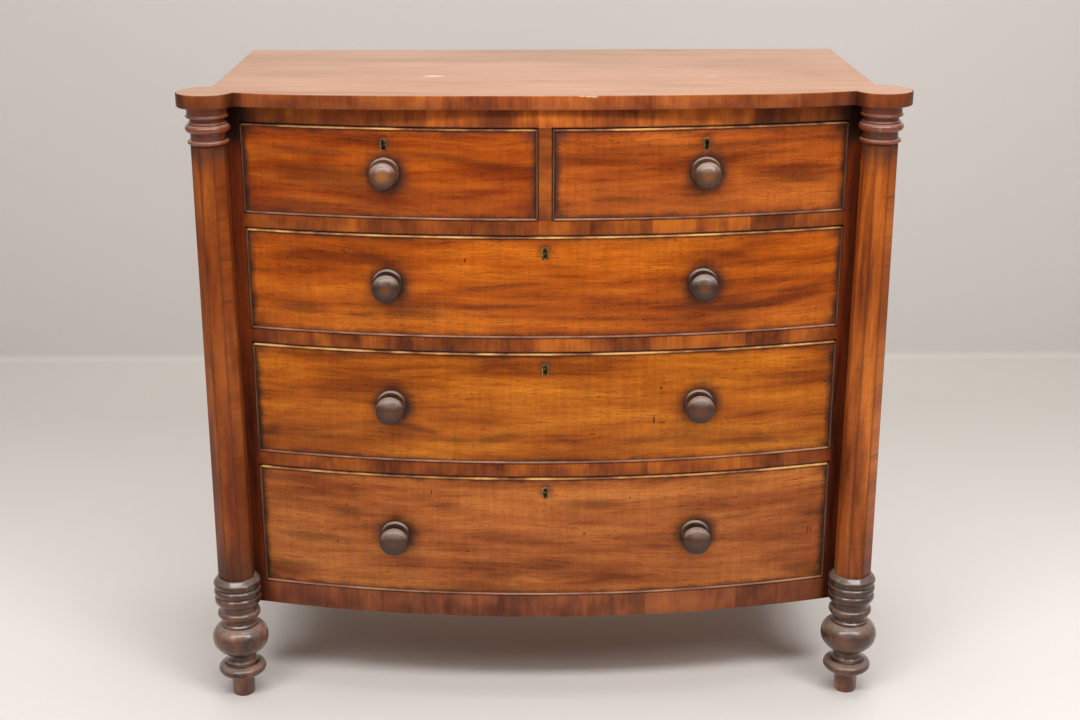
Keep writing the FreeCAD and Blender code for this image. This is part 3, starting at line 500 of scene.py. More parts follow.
print(sum(map(len, PATCHES.values())), "smoky patches and", sum(map(len, DENTS.values())), "dents")

# %% [markdown]
# ## Grime, painted shadow and marks
#
# Two centuries of hands and wax leave a front dark where a duster can't reach: along the bead, most of all in
# the corners, and in a ring round each knob, where the knob's shadow is painted in as well. The masks are
# plain distances: to the nearest edge of the front, and to the middle of each knob and keyhole. Noise makes
# their outline uneven. A patch or a dent is the same idea, with the distance squeezed into an ellipse.

# %% Masks for grime and marks
RAGGED_EDGE, RAGGED_RING = (45.0, 45.0, 45.0), (60.0, 60.0, 60.0)


def edge_grime(finish, low, high, reach):
    """How dark the polish is near the edges of the rectangle from low to high, in x and z."""
    ragged = (finish.noise(finish.place, RAGGED_EDGE, 3.0) - 0.5) * reach
    side = (finish.x - low.x).least(high.x - finish.x) + ragged
    level = (finish.z - low.z).least(high.z - finish.z) + ragged
    sides = 1.0 - side.rise(0.1 * reach, 1.1 * reach)
    levels = 1.0 - level.rise(0.0, 0.8 * reach)
    corner = (1.0 - side.rise(0.0, 2.6 * reach)) * (1.0 - level.rise(0.0, 2.2 * reach))
    return sides.most(levels * 0.75).most(corner)


def distance(across, up):
    """How long a step is that goes so far across and so far up."""
    square = across * across + up * up
    return square.math("SQRT", square)


def dark_ring(finish, x, z, inner, outer):
    """How much darker the polish is painted in a ring round a point of the front: grime, and round a knob the
    knob's painted shadow too.
    """
    away = distance(finish.x - x, finish.z - z)
    ragged = (finish.noise(finish.place, RAGGED_RING, 2.0) - 0.5) * (outer - inner) * 0.25
    halo = 1.0 - (away + ragged).rise(inner, outer)
    return halo * halo


def smoky_patches(finish, patches, streaky):
    """Long soft patches, broken up by noise that runs with the grain."""
    smoke = 0.0
    for x, z, half_length, half_height, lean in patches:
        run = finish.x - x
        away = distance(run / half_length, (finish.z - z - run * lean) / half_height)
        patch = 1.0 - (away + (streaky - 0.5) * 1.6).rise(0.2, 1.3)
        smoke = patch.most(smoke)
    return smoke


def dented(finish, dents):
    """Small sharp marks, each a little ellipse."""
    marks = 0.0
    for x, z, half_width, half_height in dents:
        away = distance((finish.x - x) / half_width, (finish.z - z) / half_height)
        marks = (1.0 - away.rise(0.6, 1.3)).most(marks)
    return marks


print("masks:", ", ".join(mask.__name__ for mask in (edge_grime, dark_ring, smoky_patches, dented)))

# %% [markdown]
# ## The drawer fronts
#
# A front's finish is its grain, then its smoky patches, then the grime and painted shadow, then specks and
# dents, which also sink into the surface. The rings round the knobs are grime with each knob's shadow painted
# in, so they sit a little to the right of the knobs and below them. Each drawer has a finish of its own, in
# the tones of its own veneer.

# %% Front finishes
GRIME_AND_SHADE = paint(44, 33, 30)
SPECK = paint(40, 18, 10)
GRIME_REACH = 0.016
KNOB_RING = (0.021, 0.055)   # inner and outer radius
KEYHOLE_RING = (0.006, 0.022)
KNOB_SHADOW_SHIFT = 0.0025
GRAIN_RELIEF = 0.00025


def front_finish(name, light, middle, dark, seed):
    """The polish of one drawer's front: its grain, smoky patches, grime with the knobs' painted shadows,
    specks and dents.
    """
    low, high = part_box(f"{name}_front")
    finish = Finish(f"{name}_front_polish", seed, Coat_Weight=0.05, Coat_Roughness=0.25)
    colour, relief = long_grain(finish, finish.x, finish.z, light, middle, dark)
    streaky = finish.noise(finish.place, (14.0, 14.0, 110.0), 3.0, 0.6)
    colour = finish.over(colour, SMOKE, smoky_patches(finish, PATCHES[name], streaky) * 0.55)
    grime_and_shadow = edge_grime(finish, low, high, GRIME_REACH)
    for x in DRAWERS[name]:
        # each knob's ring is grime with the knob's painted shadow, shifted right and down
        grime_and_shadow_ring = dark_ring(finish, x + KNOB_SHADOW_SHIFT, knob_height(name) - KNOB_SHADOW_SHIFT, *KNOB_RING)
        grime_and_shadow = grime_and_shadow.most(grime_and_shadow_ring)
    keyhole = dark_ring(finish, keyhole_x(name), high.z - KEYHOLE_DROP, *KEYHOLE_RING)
    grime_and_shadow = grime_and_shadow.most(keyhole * 0.5)
    colour = finish.over(colour, GRIME_AND_SHADE, grime_and_shadow * 0.94)
    flat = finish.vector(finish.x, finish.z, 0.0)
    specks = finish.spots(flat, spacing=0.016, size=0.0017, share=0.20)
    specks = specks.most(dented(finish, DENTS[name]))
    colour = finish.over(colour, SPECK, specks * 0.85)
    finish.bump(relief * 0.8 - specks, GRAIN_RELIEF)
    return finish.polished(colour, relief, 0.34 + grime_and_shadow * 0.16)


# the light, middle and dark tone of each front
FRONT_TONES = {
    "left_short": paints((188, 92, 20), (148, 60, 8), (98, 36, 6)),
    "right_short": paints((198, 104, 34), (172, 82, 24), (128, 52, 12)),
    "upper_long": paints((206, 110, 24), (174, 82, 14), (124, 51, 8)),
    "middle_long": paints((204, 118, 30), (176, 92, 20), (132, 61, 12)),
    "lower_long": paints((193, 115, 54), (167, 91, 42), (122, 60, 26)),
}
front_finishes = {
    name: front_finish(name, *tones, seed=10 * number)
    for number, (name, tones) in enumerate(FRONT_TONES.items(), start=1)
}
print(len(front_finishes), "front finishes")

# %% [markdown]
# ## The faded top
#
# The top is paler and pinker than the fronts, because daylight has faded it, and its streaks are faint.
# Things set down on it have left small pale scuffs and one larger one near the middle.

# %% Top
TOP_TONES = paints((174, 132, 106), (164, 122, 95), (152, 110, 84))
BARE_TOP = paint(246, 220, 196)
SCUFF = (-0.184, -0.045)
SCUFF_HALF = (0.018, 0.005)
POLISH_RELIEF = 0.0002


def top_finish():
    """Faded mahogany with small pale scuffs and one larger one."""
    finish = Finish("faded_top", 101, Coat_Weight=0.35, Coat_Roughness=0.3)
    colour, relief = long_grain(finish, finish.x, finish.y, *TOP_TONES, streaks=0.25)
    scuffs = finish.spots(finish.place, spacing=0.09, size=0.012, share=0.3)
    scuffs = scuffs * finish.noise(finish.place, (90.0, 240.0, 1.0))
    run, back = (finish.x - SCUFF[0]) / SCUFF_HALF[0], (finish.y - SCUFF[1]) / SCUFF_HALF[1]
    scuffs = (scuffs * 0.5).most(1.0 - distance(run, back).rise(0.5, 1.2))
    colour = finish.over(colour, BARE_TOP, scuffs * 0.8)
    finish.bump(relief, POLISH_RELIEF / 2)
    return finish.polished(colour, relief, 0.42, swing=0.1)


finishes = {"top": top_finish()}
print("finishes so far:", ", ".join(finishes))

# %% [markdown]
# ## Banded rails
#
# The rails and the muntin are cross-banded. The rails are darker towards their ends, and on the drawer rails
# this is painted shade next to the columns. A dark line of dirt and painted shade lies where a drawer slides
# under its rail. The frieze, which is the rail right under the top, is painted brighter in the middle, as
# painted light against the top's shadow, and dark in its corners, as painted shade under the top beside the
# capitals.

# %% Banded rails
RAIL_TONES = paints((186, 100, 32), (142, 70, 25), (92, 42, 18))
BOTTOM_RAIL_TONES = paints((162, 92, 50), (128, 70, 42), (90, 48, 32))
MUNTIN_TONES = paints((184, 98, 34), (140, 68, 24), (90, 42, 18))
RAIL_END_SHADE, BOTTOM_RAIL_ENDS = paints((92, 38, 20), (96, 42, 26))
RAIL_END, BOTTOM_RAIL_END = 0.09, 0.3       # how far the darker ends reach
GAP_REACH = (0.0022, 0.0044)
GAP_FADE = 0.002
FRIEZE_CORNER_SHADE = (0.030, 0.004)
CAPITAL_HALF = 0.03
column_foot, column_head = columns_low.z, columns_high.z


def band_finish(name, directions, tones, seed):
    """Cross-banding that runs along one axis and across another, or follows the piece's own UV map."""
    finish = Finish(name, seed, Coat_Weight=0.06, Coat_Roughness=0.25)
    if directions == "uv":
        unrolled = finish.node("ShaderNodeUVMap", {"uv_map": "along"}).outputs[0]
        parts = finish.node("ShaderNodeSeparateXYZ", {}, {"Vector": unrolled}).outputs
        along, across = Value(finish.tree, parts[0]), Value(finish.tree, parts[1])
    else:
        along, across = (getattr(finish, direction) for direction in directions)
    colour, relief = cross_grain(finish, along, across, *tones)
    finish.bump(relief, POLISH_RELIEF)
    return finish, colour, relief


def gap_dirt_and_shade(finish):
    """A dark line of dirt and painted shade on the edge of the wood over each front, where the drawer slides
    under it.
    """
    dirt = 0.0
    for name in DRAWERS:
        low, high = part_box(f"{name}_front")
        over = 1.0 - (finish.z - high.z).size().rise(*GAP_REACH)
        inside = (finish.x - low.x).rise(-GAP_FADE, 0.0) * (high.x - finish.x).rise(-GAP_FADE, 0.0)
        dirt = (over * inside).most(dirt)
    return dirt


def rail_finish():
    """The rails' banding, painted darker towards the ends as shade. The frieze is painted brighter in the
    middle, as painted light, and dark in its corners as painted shade, with a line of dirt and painted shade
    over each front.
    """
    finish, colour, relief = band_finish("rail_cross_banding", "xz", RAIL_TONES, 111)
    away = finish.x.size()
    # the rails are painted darker towards their ends, as shade next to the columns
    colour = finish.over(colour, RAIL_END_SHADE, away.rise(opening_half - RAIL_END, opening_half) * 0.45)
    # painted light: the frieze is painted brighter in the middle, against the top's shadow, and falls off
    # towards its ends
    frieze_painted_light = finish.z.rise(column_head - 0.01, column_head + 0.02)
    colour = finish.shade(colour, 1.0 + frieze_painted_light * (0.5 - away.rise(0.2, 0.45) * 0.6))
    # painted shade in the frieze's corners under the top beside the capitals, and the dark gap line of dirt
    # and painted shade over each front
    corner = away.rise(*(opening_half - reach for reach in FRIEZE_CORNER_SHADE))
    corner = corner * finish.z.rise(column_head, column_head + CAPITAL_HALF)
    colour = finish.over(colour, GRIME_AND_SHADE, (corner * 0.9).most(gap_dirt_and_shade(finish) * 0.85))
    return finish.polished(colour, relief, 0.36)


def bottom_rail_finish():
    """The bottom rail's banding, redder and greyer than the others'."""
    finish, colour, relief = band_finish("bottom_rail_cross_banding", "xz", BOTTOM_RAIL_TONES, 121)
    ends = finish.x.size().rise(opening_half - BOTTOM_RAIL_END, opening_half)
    return finish.polished(finish.over(colour, BOTTOM_RAIL_ENDS, ends * 0.45), relief, 0.38)


def muntin_finish():
    finish, colour, relief = band_finish("muntin_cross_banding", "zx", MUNTIN_TONES, 131)
    return finish.polished(colour, relief, 0.36)


finishes["rails"] = rail_finish()
finishes["bottom_rail"] = bottom_rail_finish()
finishes["muntin"] = muntin_finish()
print("finishes so far:", ", ".join(finishes))

# %% [markdown]
# ## The banded edge of the top
#
# The leaves of veneer follow the edge round its ears, so this finish reads the top's own UV map, which the
# top is given when it is made. The edge is mottled and darker towards the ends, darkest in the notch beside
# each ear, and the left ear is the darker, partly as painted shade away from the light. It has lost a few
# chips near the middle.

# %% Edge of the top
EDGE_TONES = paints((186, 102, 46), (154, 76, 34), (112, 50, 22))
EDGE_ENDS, BARE_EDGE = paints((64, 28, 14), (226, 196, 168))
NOTCH_X = 0.4903
NOTCH_REACH = (0.004, 0.030)
TIP = (0.556, 0.582)

# chips out of the edge's upper corner: x, z, half the width and half the height
EDGE_CHIPS = ((0.057, 1.0664, 0.0045, 0.0008), (0.067, 1.0660, 0.005, 0.0011), (0.076, 1.0656, 0.006, 0.0014))


def shaded_left(finish):
    """1 on the left of the chest, which is painted darker, partly as painted shade away from the light on the
    right, and 0 on the right.
    """
    return 1.0 - finish.x.rise(-0.1, 0.1)


def edge_finish():
    finish, colour, relief = band_finish("top_edge_cross_banding", "uv", EDGE_TONES, 141)
    away, left = finish.x.size(), shaded_left(finish)
    notch = 1.0 - (away - NOTCH_X).size().rise(*NOTCH_REACH)
    mottle = finish.noise(finish.place, (40.0, 40.0, 60.0), 3.0, 0.6)
    # the ears' outer ends are painted darker, the left one most, partly as painted shade away from the light
    # on the right
    ear = away.rise(NOTCH_X, NOTCH_X + 0.02) * (0.42 + left * 0.20)
    tip = away.rise(*TIP) * (0.35 + left * 0.45)
    ends = away.rise(0.12, 0.40) * 0.38 + (mottle - 0.5) * 0.5
    colour = finish.over(colour, EDGE_ENDS, ends.most(ear + tip).least(0.9).most(notch * 0.9))
    colour = finish.over(colour, BARE_EDGE, dented(finish, EDGE_CHIPS) * 0.6)
    return finish.polished(colour, relief, 0.36)


finishes["top_edge"] = edge_finish()
print("finishes so far:", ", ".join(finishes))

# %% [markdown]
# ## Posts and side panels
#
# The posts beside the drawers and the panels at the sides are cut along the grain and stand upright. The
# posts are painted darker at the head, under the top, at the foot, and towards the columns, as dirt and as
# painted shade.

# %% Posts and panels
STILE_TONES = paints((140, 60, 22), (108, 42, 16), (66, 24, 10))
PANEL_TONES = paints((182, 92, 36), (152, 70, 26), (110, 48, 20))
STILE_DIRT_AND_SHADE = paint(34, 24, 20)
STILE_FOOT = (0.17, 0.30)
STILE_INNER = 0.014


def upright_finish(name, seed, across, tones, streaks=1.0):
    """Grain that runs up the piece, with its colour and relief."""
    finish = Finish(name, seed, Coat_Weight=0.12, Coat_Roughness=0.25)
    colour, relief = long_grain(finish, finish.z, getattr(finish, across), *tones, streaks)
    finish.bump(relief, POLISH_RELIEF)
    return finish, colour, relief


def stile_finish():
    finish, colour, relief = upright_finish("stile_polish", 151, "x", STILE_TONES, streaks=0.6)
    # painted shade and dirt: the post is darker at its foot, towards the column, and at its head under the
    # top
    foot = 1.0 - finish.z.rise(*STILE_FOOT)
    inner = finish.x.size().rise(opening_half, opening_half + STILE_INNER)
    head = finish.z.rise(column_head - 0.03, column_head + 0.01)
    colour = finish.over(colour, STILE_DIRT_AND_SHADE, (foot * 0.6 + inner * 0.3).most(head * 0.88))
    return finish.polished(colour, relief, 0.38)


def panel_finish():
    finish, colour, relief = upright_finish("side_panel_polish", 161, "y", PANEL_TONES)
    return finish.polished(colour, relief, 0.38)


finishes["stiles"] = stile_finish()
finishes["panels"] = panel_finish()
print("finishes so far:", ", ".join(finishes))

# %% [markdown]
# ## Columns and turnings
#
# Columns are cut along the grain and stand upright, so their along coordinate is the height. They are darker
# at both ends, and their corner lines hold dark polish; the left one is painted darker, with soot and with
# painted shade away from the light. The angle round the column's axis, counted in eighths, says how near a
# point is to a corner. The turned work carries attributes of its own: how far each point stands out from its
# neighbours, and how far it faces up. The polish is dark in the hollows, and pale with wear, dust and a
# painted highlight on the upper side of each ring.

# %% Columns and turnings
SIDES = 8
CORNER_WIDTH = 0.16          # as a share of a side
DARK_HEAD, DARK_FOOT = 0.05, 0.12
PEG_TOP = 0.034
COLLAR = (0.160, 0.170)
CAPITALS_FROM = (0.4, 0.6)
COLUMN_TONES = paints((200, 110, 40), (164, 82, 26), (110, 48, 14))
TURNED_TONES = paints((134, 84, 54), (92, 54, 34), (52, 32, 23))
CORNER_LINE, SOOT_AND_SHADE, HOLLOW_AND_SHADE, DUST_AND_SHEEN, REDDER = paints(
    (72, 32, 14), (88, 32, 12), (38, 26, 20), (182, 160, 146), (142, 64, 30),
)


def column_finish():
    """Grain that runs up the columns, with dark corner lines and ends, and soot and painted shade on the left
    one.
    """
    finish = Finish("column_polish", 171, Coat_Weight=0.12, Coat_Roughness=0.22)
    colour, relief = long_grain(finish, finish.z, finish.x - finish.y, *COLUMN_TONES, streaks=0.8)
    out = finish.x.size() - COLUMN_X
    back = finish.y - column_y
    turns = back.math("ARCTAN2", back, out) * (SIDES / math.tau)
    corner = (turns.fraction() - 0.5).size()
    arris = 1.0 - corner.rise(0.0, CORNER_WIDTH)
    colour = finish.over(colour, CORNER_LINE, arris * 0.50)
    ragged = (finish.noise(finish.place, (30.0, 30.0, 9.0), 3.0) - 0.5) * 0.06
    head = (finish.z + ragged).rise(column_head - DARK_HEAD, column_head - 0.005)
    foot = 1.0 - (finish.z + ragged).rise(column_foot, column_foot + DARK_FOOT)
    # the left column is painted darker all over and at its foot: patches of soot, and painted shade away from
    # the light on the right
    left = shaded_left(finish)
    ends = head.most(foot * (0.35 + left * 0.65))
    soot = finish.noise(finish.place, (22.0, 22.0, 5.0), 4.0, 0.6).rise(0.36, 0.64)
    colour = finish.over(colour, SOOT_AND_SHADE, left * (soot * 0.45 + 0.32))
    colour = finish.over(colour, GRIME_AND_SHADE, ends * 0.66)
    finish.bump(relief, POLISH_RELIEF)
    return finish.done(colour, 0.34 + ends * 0.1)


def turned_finish():
    """Dark polish on turned work: dusty, worn and painted with a highlight where its rings face up, black in
    the hollows.
    """
    finish = Finish(
        "dark_turned_polish", 181, Coat_Weight=0.70, Coat_Roughness=0.17, Specular_IOR_Level=0.22,
    )
    light, middle, dark = TURNED_TONES
    crest, upward = finish.attribute("crest"), finish.attribute("upward")
    cloud = finish.noise(finish.place, (26.0, 26.0, 14.0), 3.0, 0.6)
    fibre = finish.noise(finish.place, (300.0, 300.0, 16.0), 3.0, 0.6)
    chips = finish.noise(finish.place, (90.0, 90.0, 60.0), 4.0, 0.65)
    colour = finish.ramp(cloud, (0.34, dark), (0.52, middle), (0.70, light))
    capital = finish.z.rise(*CAPITALS_FROM)
    colour = finish.over(colour, REDDER, capital * 0.65)
    collar = finish.z.rise(*COLLAR) * (1.0 - capital)
    upper = finish.z.rise(PEG_TOP, PEG_TOP + 0.006)
    colour = finish.shade(colour, 1.5 - upper * 0.5 - collar * 0.35)
    colour = finish.over(colour, HOLLOW_AND_SHADE, finish.x.rise(0.0, 0.2) * (1.0 - capital) * upper * 0.35)
    uneven = crest + (cloud - 0.5) * 0.0014
    colour = finish.over(colour, HOLLOW_AND_SHADE, (1.0 - uneven.rise(-0.0032, -0.0002)) * (0.85 - capital * 0.35))
    # dust and a painted highlight on the upper side of each ring
    shoulder = (upward + (chips - 0.5) * 0.7).rise(0.15, 1.0) * uneven.rise(-0.0020, -0.0002)
    colour = finish.over(colour, DUST_AND_SHEEN, shoulder * (0.50 - collar * 0.12))
    colour = finish.over(colour, DUST_AND_SHEEN, chips.rise(0.60, 0.72) * 0.16)
    colour = finish.shade(colour, 1.0 + (fibre - 0.5) * 0.6)
    finish.bump(fibre * (1.0 - upper * 0.8) + cloud * 0.4, 0.0006)
    return finish.polished(colour, cloud, 0.30, swing=0.2)


finishes["columns"] = column_finish()
finishes["turnings"] = turned_finish()
print("finishes so far:", ", ".join(finishes))

# %% [markdown]
# ## Knobs and beads
#
# The knobs have the same dark polish as the feet, but hands have rubbed the middle of each dome brighter.
# Where a knob faces up it is painted pale, as dust and a painted highlight, and where it faces down it is
# painted dark, as shade. The knobs of the short drawers are the brownest. The cock bead is painted golden
# where it faces up under a rail, as wear and a painted highlight, duller along the foot of each drawer, and
# dark at the sides as painted shade. It is one finish for all five beads, so its mask asks how near a point
# is to each drawer's lower edge.

# %% Knobs and beads
# the rim and the dome of each drawer's knobs
KNOB_TONES = {
    "left_short": paints((96, 58, 38), (152, 94, 52)),
    "right_short": paints((84, 56, 38), (124, 76, 46)),
    "upper_long": paints((58, 41, 31), (102, 62, 38)),
    "middle_long": paints((74, 48, 36), (98, 58, 38)),
    "lower_long": paints((70, 47, 35), (88, 54, 38)),
}
BEAD_WORN_AND_LIT = paints((116, 64, 30), (186, 122, 60), (224, 168, 98))
BEAD_DULL = paints((112, 68, 50), (172, 124, 98))
BEAD_SIDE_SHADE = paint(82, 46, 26)
KNOB_HEAD = (0.040, 0.046)   # how far out the head begins
RUBBED = (0.003, 0.017)      # the radius of the rubbed middle
BEAD_EDGE = (0.003, 0.005)
INNER_BEADS = (0.015, 0.017)     # beside the muntin, in the short drawers' row
short_row_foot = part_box("left_short_front")[0].z


def knob_finish(name, rim, dome, seed):
    """A knob's polish: dust and a painted highlight where it faces up, painted shade where it faces down, and
    the middle of the dome rubbed brighter.
    """
    finish = Finish(name, seed, Coat_Weight=0.38, Coat_Roughness=0.20, Specular_IOR_Level=0.15)
    radius, upward = finish.attribute("radius"), finish.attribute("upward")
    uneven = finish.attribute("crest") + (finish.noise(finish.place, (50.0, 50.0, 50.0), 2.0) - 0.5) * 0.003
    cloud = finish.noise(finish.place, (60.0, 60.0, 60.0), 3.0, 0.6)
    fibre = finish.noise(finish.place, (90.0, 400.0, 400.0), 3.0, 0.6)
    head = finish.attribute("height").rise(*KNOB_HEAD)
    rubbed = head * (1.0 - (radius + (cloud - 0.5) * 0.012).rise(*RUBBED))
    colour = finish.over(rim, HOLLOW_AND_SHADE, (1.0 - uneven.rise(-0.005, -0.001)) * 0.8)
    colour = finish.over(colour, dome, rubbed)
    # dust and a painted highlight where the knob faces up
    dust_and_highlight = (upward + (cloud - 0.5) * 0.4).rise(0.15, 0.80) * uneven.rise(-0.004, 0.0)
    colour = finish.over(colour, DUST_AND_SHEEN, dust_and_highlight * 0.66)
    # painted shade where the knob faces down
    colour = finish.over(colour, HOLLOW_AND_SHADE, (1.0 - upward.rise(-0.6, 0.1)) * 0.45)
    colour = finish.shade(colour, 0.86 + cloud * 0.24 + (fibre - 0.5) * 0.3)
    finish.bump(cloud * 0.6 + fibre * 0.4, 0.0004)
    return finish.polished(colour, cloud, 0.30, swing=0.2)


def bead_finish():
    """Painted golden where it faces up under the rails, as wear and a painted highlight, duller along each
    drawer's foot, and dark at the sides as painted shade.
    """
    finish = Finish("bead_polish", 191, Coat_Weight=0.15, Coat_Roughness=0.25, Specular_IOR_Level=0.4)
    worn = finish.noise(finish.place, (16.0, 16.0, 16.0), 3.0, 0.6)
    # the bead is painted golden, as wear and a painted highlight, where it faces up under the rails
    worn_and_lit = finish.ramp(worn, *zip((0.38, 0.5, 0.62), BEAD_WORN_AND_LIT))
    low_edge = 0.0
    for name in DRAWERS:
        height = finish.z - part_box(f"{name}_front")[0].z
        low_edge = (1.0 - height.size().rise(*BEAD_EDGE)).most(low_edge)
    dull = finish.ramp(worn, *zip((0.36, 0.64), BEAD_DULL))
    # painted shade: the side beads, and the inner ones beside the muntin, painted dark
    side = finish.x.size().rise(opening_half - 0.006, opening_half - 0.004)
    inner = 1.0 - finish.x.size().rise(*INNER_BEADS)
    inner = inner * finish.z.rise(short_row_foot, short_row_foot + 0.002)
    colour = finish.over(finish.over(worn_and_lit, dull, low_edge), BEAD_SIDE_SHADE, side.most(inner) * 0.9)
    return finish.done(colour, 0.34 + worn * 0.1)


knob_finishes = {
    name: knob_finish(f"{name}_knob_polish", *tones, seed=400 + 10 * number)
    for number, (name, tones) in enumerate(KNOB_TONES.items())
}
finishes["bead"] = bead_finish()
print("finishes so far:", ", ".join(finishes), "and", len(knob_finishes), "for the knobs")

# %% [markdown]
# ## Wood that nobody polished, and metal
#
# Inside the carcass and the drawers the wood is bare: pine for the runners, dustboards and back, and a finer
# timber for the drawers' linings. It has gone brown and dusty with age. The keyholes' liners and the locks
# are brass, dull in patches of tarnish, and the bolts are filed steel.

# %% Bare wood and metal


def bare_finish(name, directions, tones, seed):
    """Bare wood whose grain runs along the first direction: rings across the second, and fibre."""
    light, middle, dark = tones
    finish = Finish(name, seed)
    along, across = (getattr(finish, direction) for direction in directions)
    drift = (finish.noise(finish.place, (3.0, 3.0, 3.0), 1.0) - 0.5) * 0.04
    place = finish.vector(along, across + drift, 0.0)
    rings = finish.noise(place, (1.6, 42.0, 1.0), 3.0, 0.55)
    fibre = finish.noise(place, (9.0, 420.0, 1.0), 3.0, 0.6)
    dust = finish.noise(finish.place, (5.0, 5.0, 5.0), 3.0)
    colour = finish.ramp(rings * 0.7 + dust * 0.3, (0.38, dark), (0.5, middle), (0.62, light))
    finish.bump(fibre * 0.6 + rings * 0.4, 0.0004)
    return finish.polished(finish.shade(colour, 1.0 + (fibre - 0.5) * 0.4), fibre, 0.62, swing=0.2)


def metal_finish(name, bright, dull, seed, roughness):
    """Metal with dull, less metallic patches of tarnish."""
    finish = Finish(name, seed)
    patch = finish.noise(finish.place, (180.0, 180.0, 180.0), 4.0, 0.6)
    colour = finish.ramp(patch, (0.4, dull), (0.62, bright))
    finish.bump(patch, 0.0002)
    finish.feed("Metallic", patch.rise(0.2, 0.5) * 0.35 + 0.6)
    return finish.done(colour, roughness + (0.5 - patch) * 0.4)


PINE = paints((190, 150, 104), (168, 126, 82), (144, 102, 66))
OLD_PINE = paints((144, 108, 74), (122, 88, 58), (100, 70, 46))
BRASS = paints((168, 136, 82), (96, 76, 46))
STEEL = paints((150, 146, 140), (92, 88, 84))
finishes["back"] = bare_finish("aged_pine_back", "zx", OLD_PINE, 211)
finishes["frame"] = bare_finish("pine_frame", "yx", PINE, 221)
finishes["boards"] = bare_finish("pine_boards", "xy", PINE, 231)
finishes["old_boards"] = bare_finish("aged_pine_boards", "xy", OLD_PINE, 236)
finishes["linings"] = bare_finish("drawer_lining", "yz", PINE, 241)
finishes["drawer_backs"] = bare_finish("drawer_back_lining", "xz", PINE, 251)
finishes["brass"] = metal_finish("aged_brass", *BRASS, seed=261, roughness=0.42)
finishes["steel"] = metal_finish("filed_steel", *STEEL, seed=271, roughness=0.38)
print(len(finishes) + len(front_finishes) + len(knob_finishes), "finishes in all")

# %% [markdown]
# ## Pieces with softened edges
#
# The packed pieces are made of loose triangles with knife-sharp edges, and no real board is that sharp.
# A copy of each visible piece is merged into a proper mesh, its flat triangles are dissolved into whole
# faces, and a narrow bevel rounds its edges so that they catch the light. Pieces of the bow are first cut
# into strips, whose corners are set exactly on the circle, so that the curve is smooth.

# %% Softened copies
MERGE = 0.00001
FLAT = math.radians(0.4)
STRIP = 0.012
ON_BOW = 0.0004
BOW_INSETS = (0.0, 0.008, 0.012, 0.021)     # the face and the backs of the bowed pieces
SMOOTH_UP_TO = math.radians(50)
ROUND_FROM = math.radians(30)


def follow_bow(build):
    """Cut the mesh into strips and set what lies near the bow's circles exactly on them."""
    reach = max(vertex.co.x for vertex in build.verts)
    start = min(vertex.co.x for vertex in build.verts)
    for step in range(1, math.ceil((reach - start) / STRIP)):
        parts = [*build.verts, *build.edges, *build.faces]
        bmesh.ops.bisect_plane(
            build, geom=parts, dist=MERGE, plane_co=(start + step * STRIP, 0, 0), plane_no=(1, 0, 0),
        )
    for vertex in build.verts:
        away = math.hypot(vertex.co.x, vertex.co.y - bow_centre)
        for inset in BOW_INSETS:
            if abs(away - (bow_radius - inset)) < ON_BOW:
                vertex.co.y = bow_y(vertex.co.x, inset)


def mesh_of(build, name):
    """What was built, as a mesh. The working copy is let go."""
    mesh = bpy.data.meshes.new(f"{name}_shape")
    build.to_mesh(mesh)
    build.free()
    return mesh


def round_edges(piece, arris, segments):
    """A bevel as wide as the arris on every edge that isn't nearly flat."""
    bevel = piece.modifiers.new("arris", "BEVEL")
    bevel.width = arris
    bevel.segments = segments
    bevel.limit_method = "ANGLE"
    bevel.angle_limit = ROUND_FROM


def softened(node, arris, on_bow=False):
    """A copy of a packed node as a clean mesh object with rounded edges."""
    build = bmesh.new()
    build.from_mesh(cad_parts[node].data)
    bmesh.ops.remove_doubles(build, verts=build.verts, dist=MERGE)
    bmesh.ops.dissolve_limit(build, angle_limit=FLAT, verts=build.verts, edges=build.edges)
    if on_bow:
        follow_bow(build)
    piece = add_object(f"{node}_shown", mesh_of(build, node))
    round_edges(piece, arris, 2)
    return settled(piece)


def settled(piece):
    """The piece with its modifiers turned into a plain mesh, smooth up to an angle."""
    shape = bpy.data.meshes.new_from_object(piece.evaluated_get(bpy.context.evaluated_depsgraph_get()))
    piece.modifiers.clear()
    piece.data = shape
    return smoothed(piece)


def smoothed(piece):
    """The piece shaded smooth, but for its sharp edges."""
    piece.data.shade_smooth()
    piece.data.set_sharp_from_angle(angle=SMOOTH_UP_TO)
    return piece


print("pieces that follow the bow are cut every", STRIP, "m")

# %% [markdown]
# ## Dressing a piece
#
# A visible piece has a finish, and it rides on a body, so that a knob comes out with its drawer. The slot
# says in one word what it is made of, and the nodes are the packed pieces that it is shown instead of.

# %% Dress a piece


def dress(piece, finish, body, slot, *nodes):
    """Give a piece its finish, its body and the nodes that it stands for; its slot is not used."""
    slots = piece.data.materials
    if slots:
        slots[0] = finish
    else:
        slots.append(finish)
    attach(piece, body)
    if nodes:
        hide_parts(*nodes)
    return piece


def paint_node(node, finish):
    """A packed node keeps its mesh and gets a finish."""
    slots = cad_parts[node].data.materials
    slots.clear()
    slots.append(finish)


print("bodies:", ", ".join(["carcass", *(f"{name}_drawer" for name in DRAWERS)]), "and a bolt for each lock")

# %% [markdown]
# ## The carcass
#
# Panels, posts and rails are softened copies. The boards deep inside keep their packed meshes and only
# get a finish.

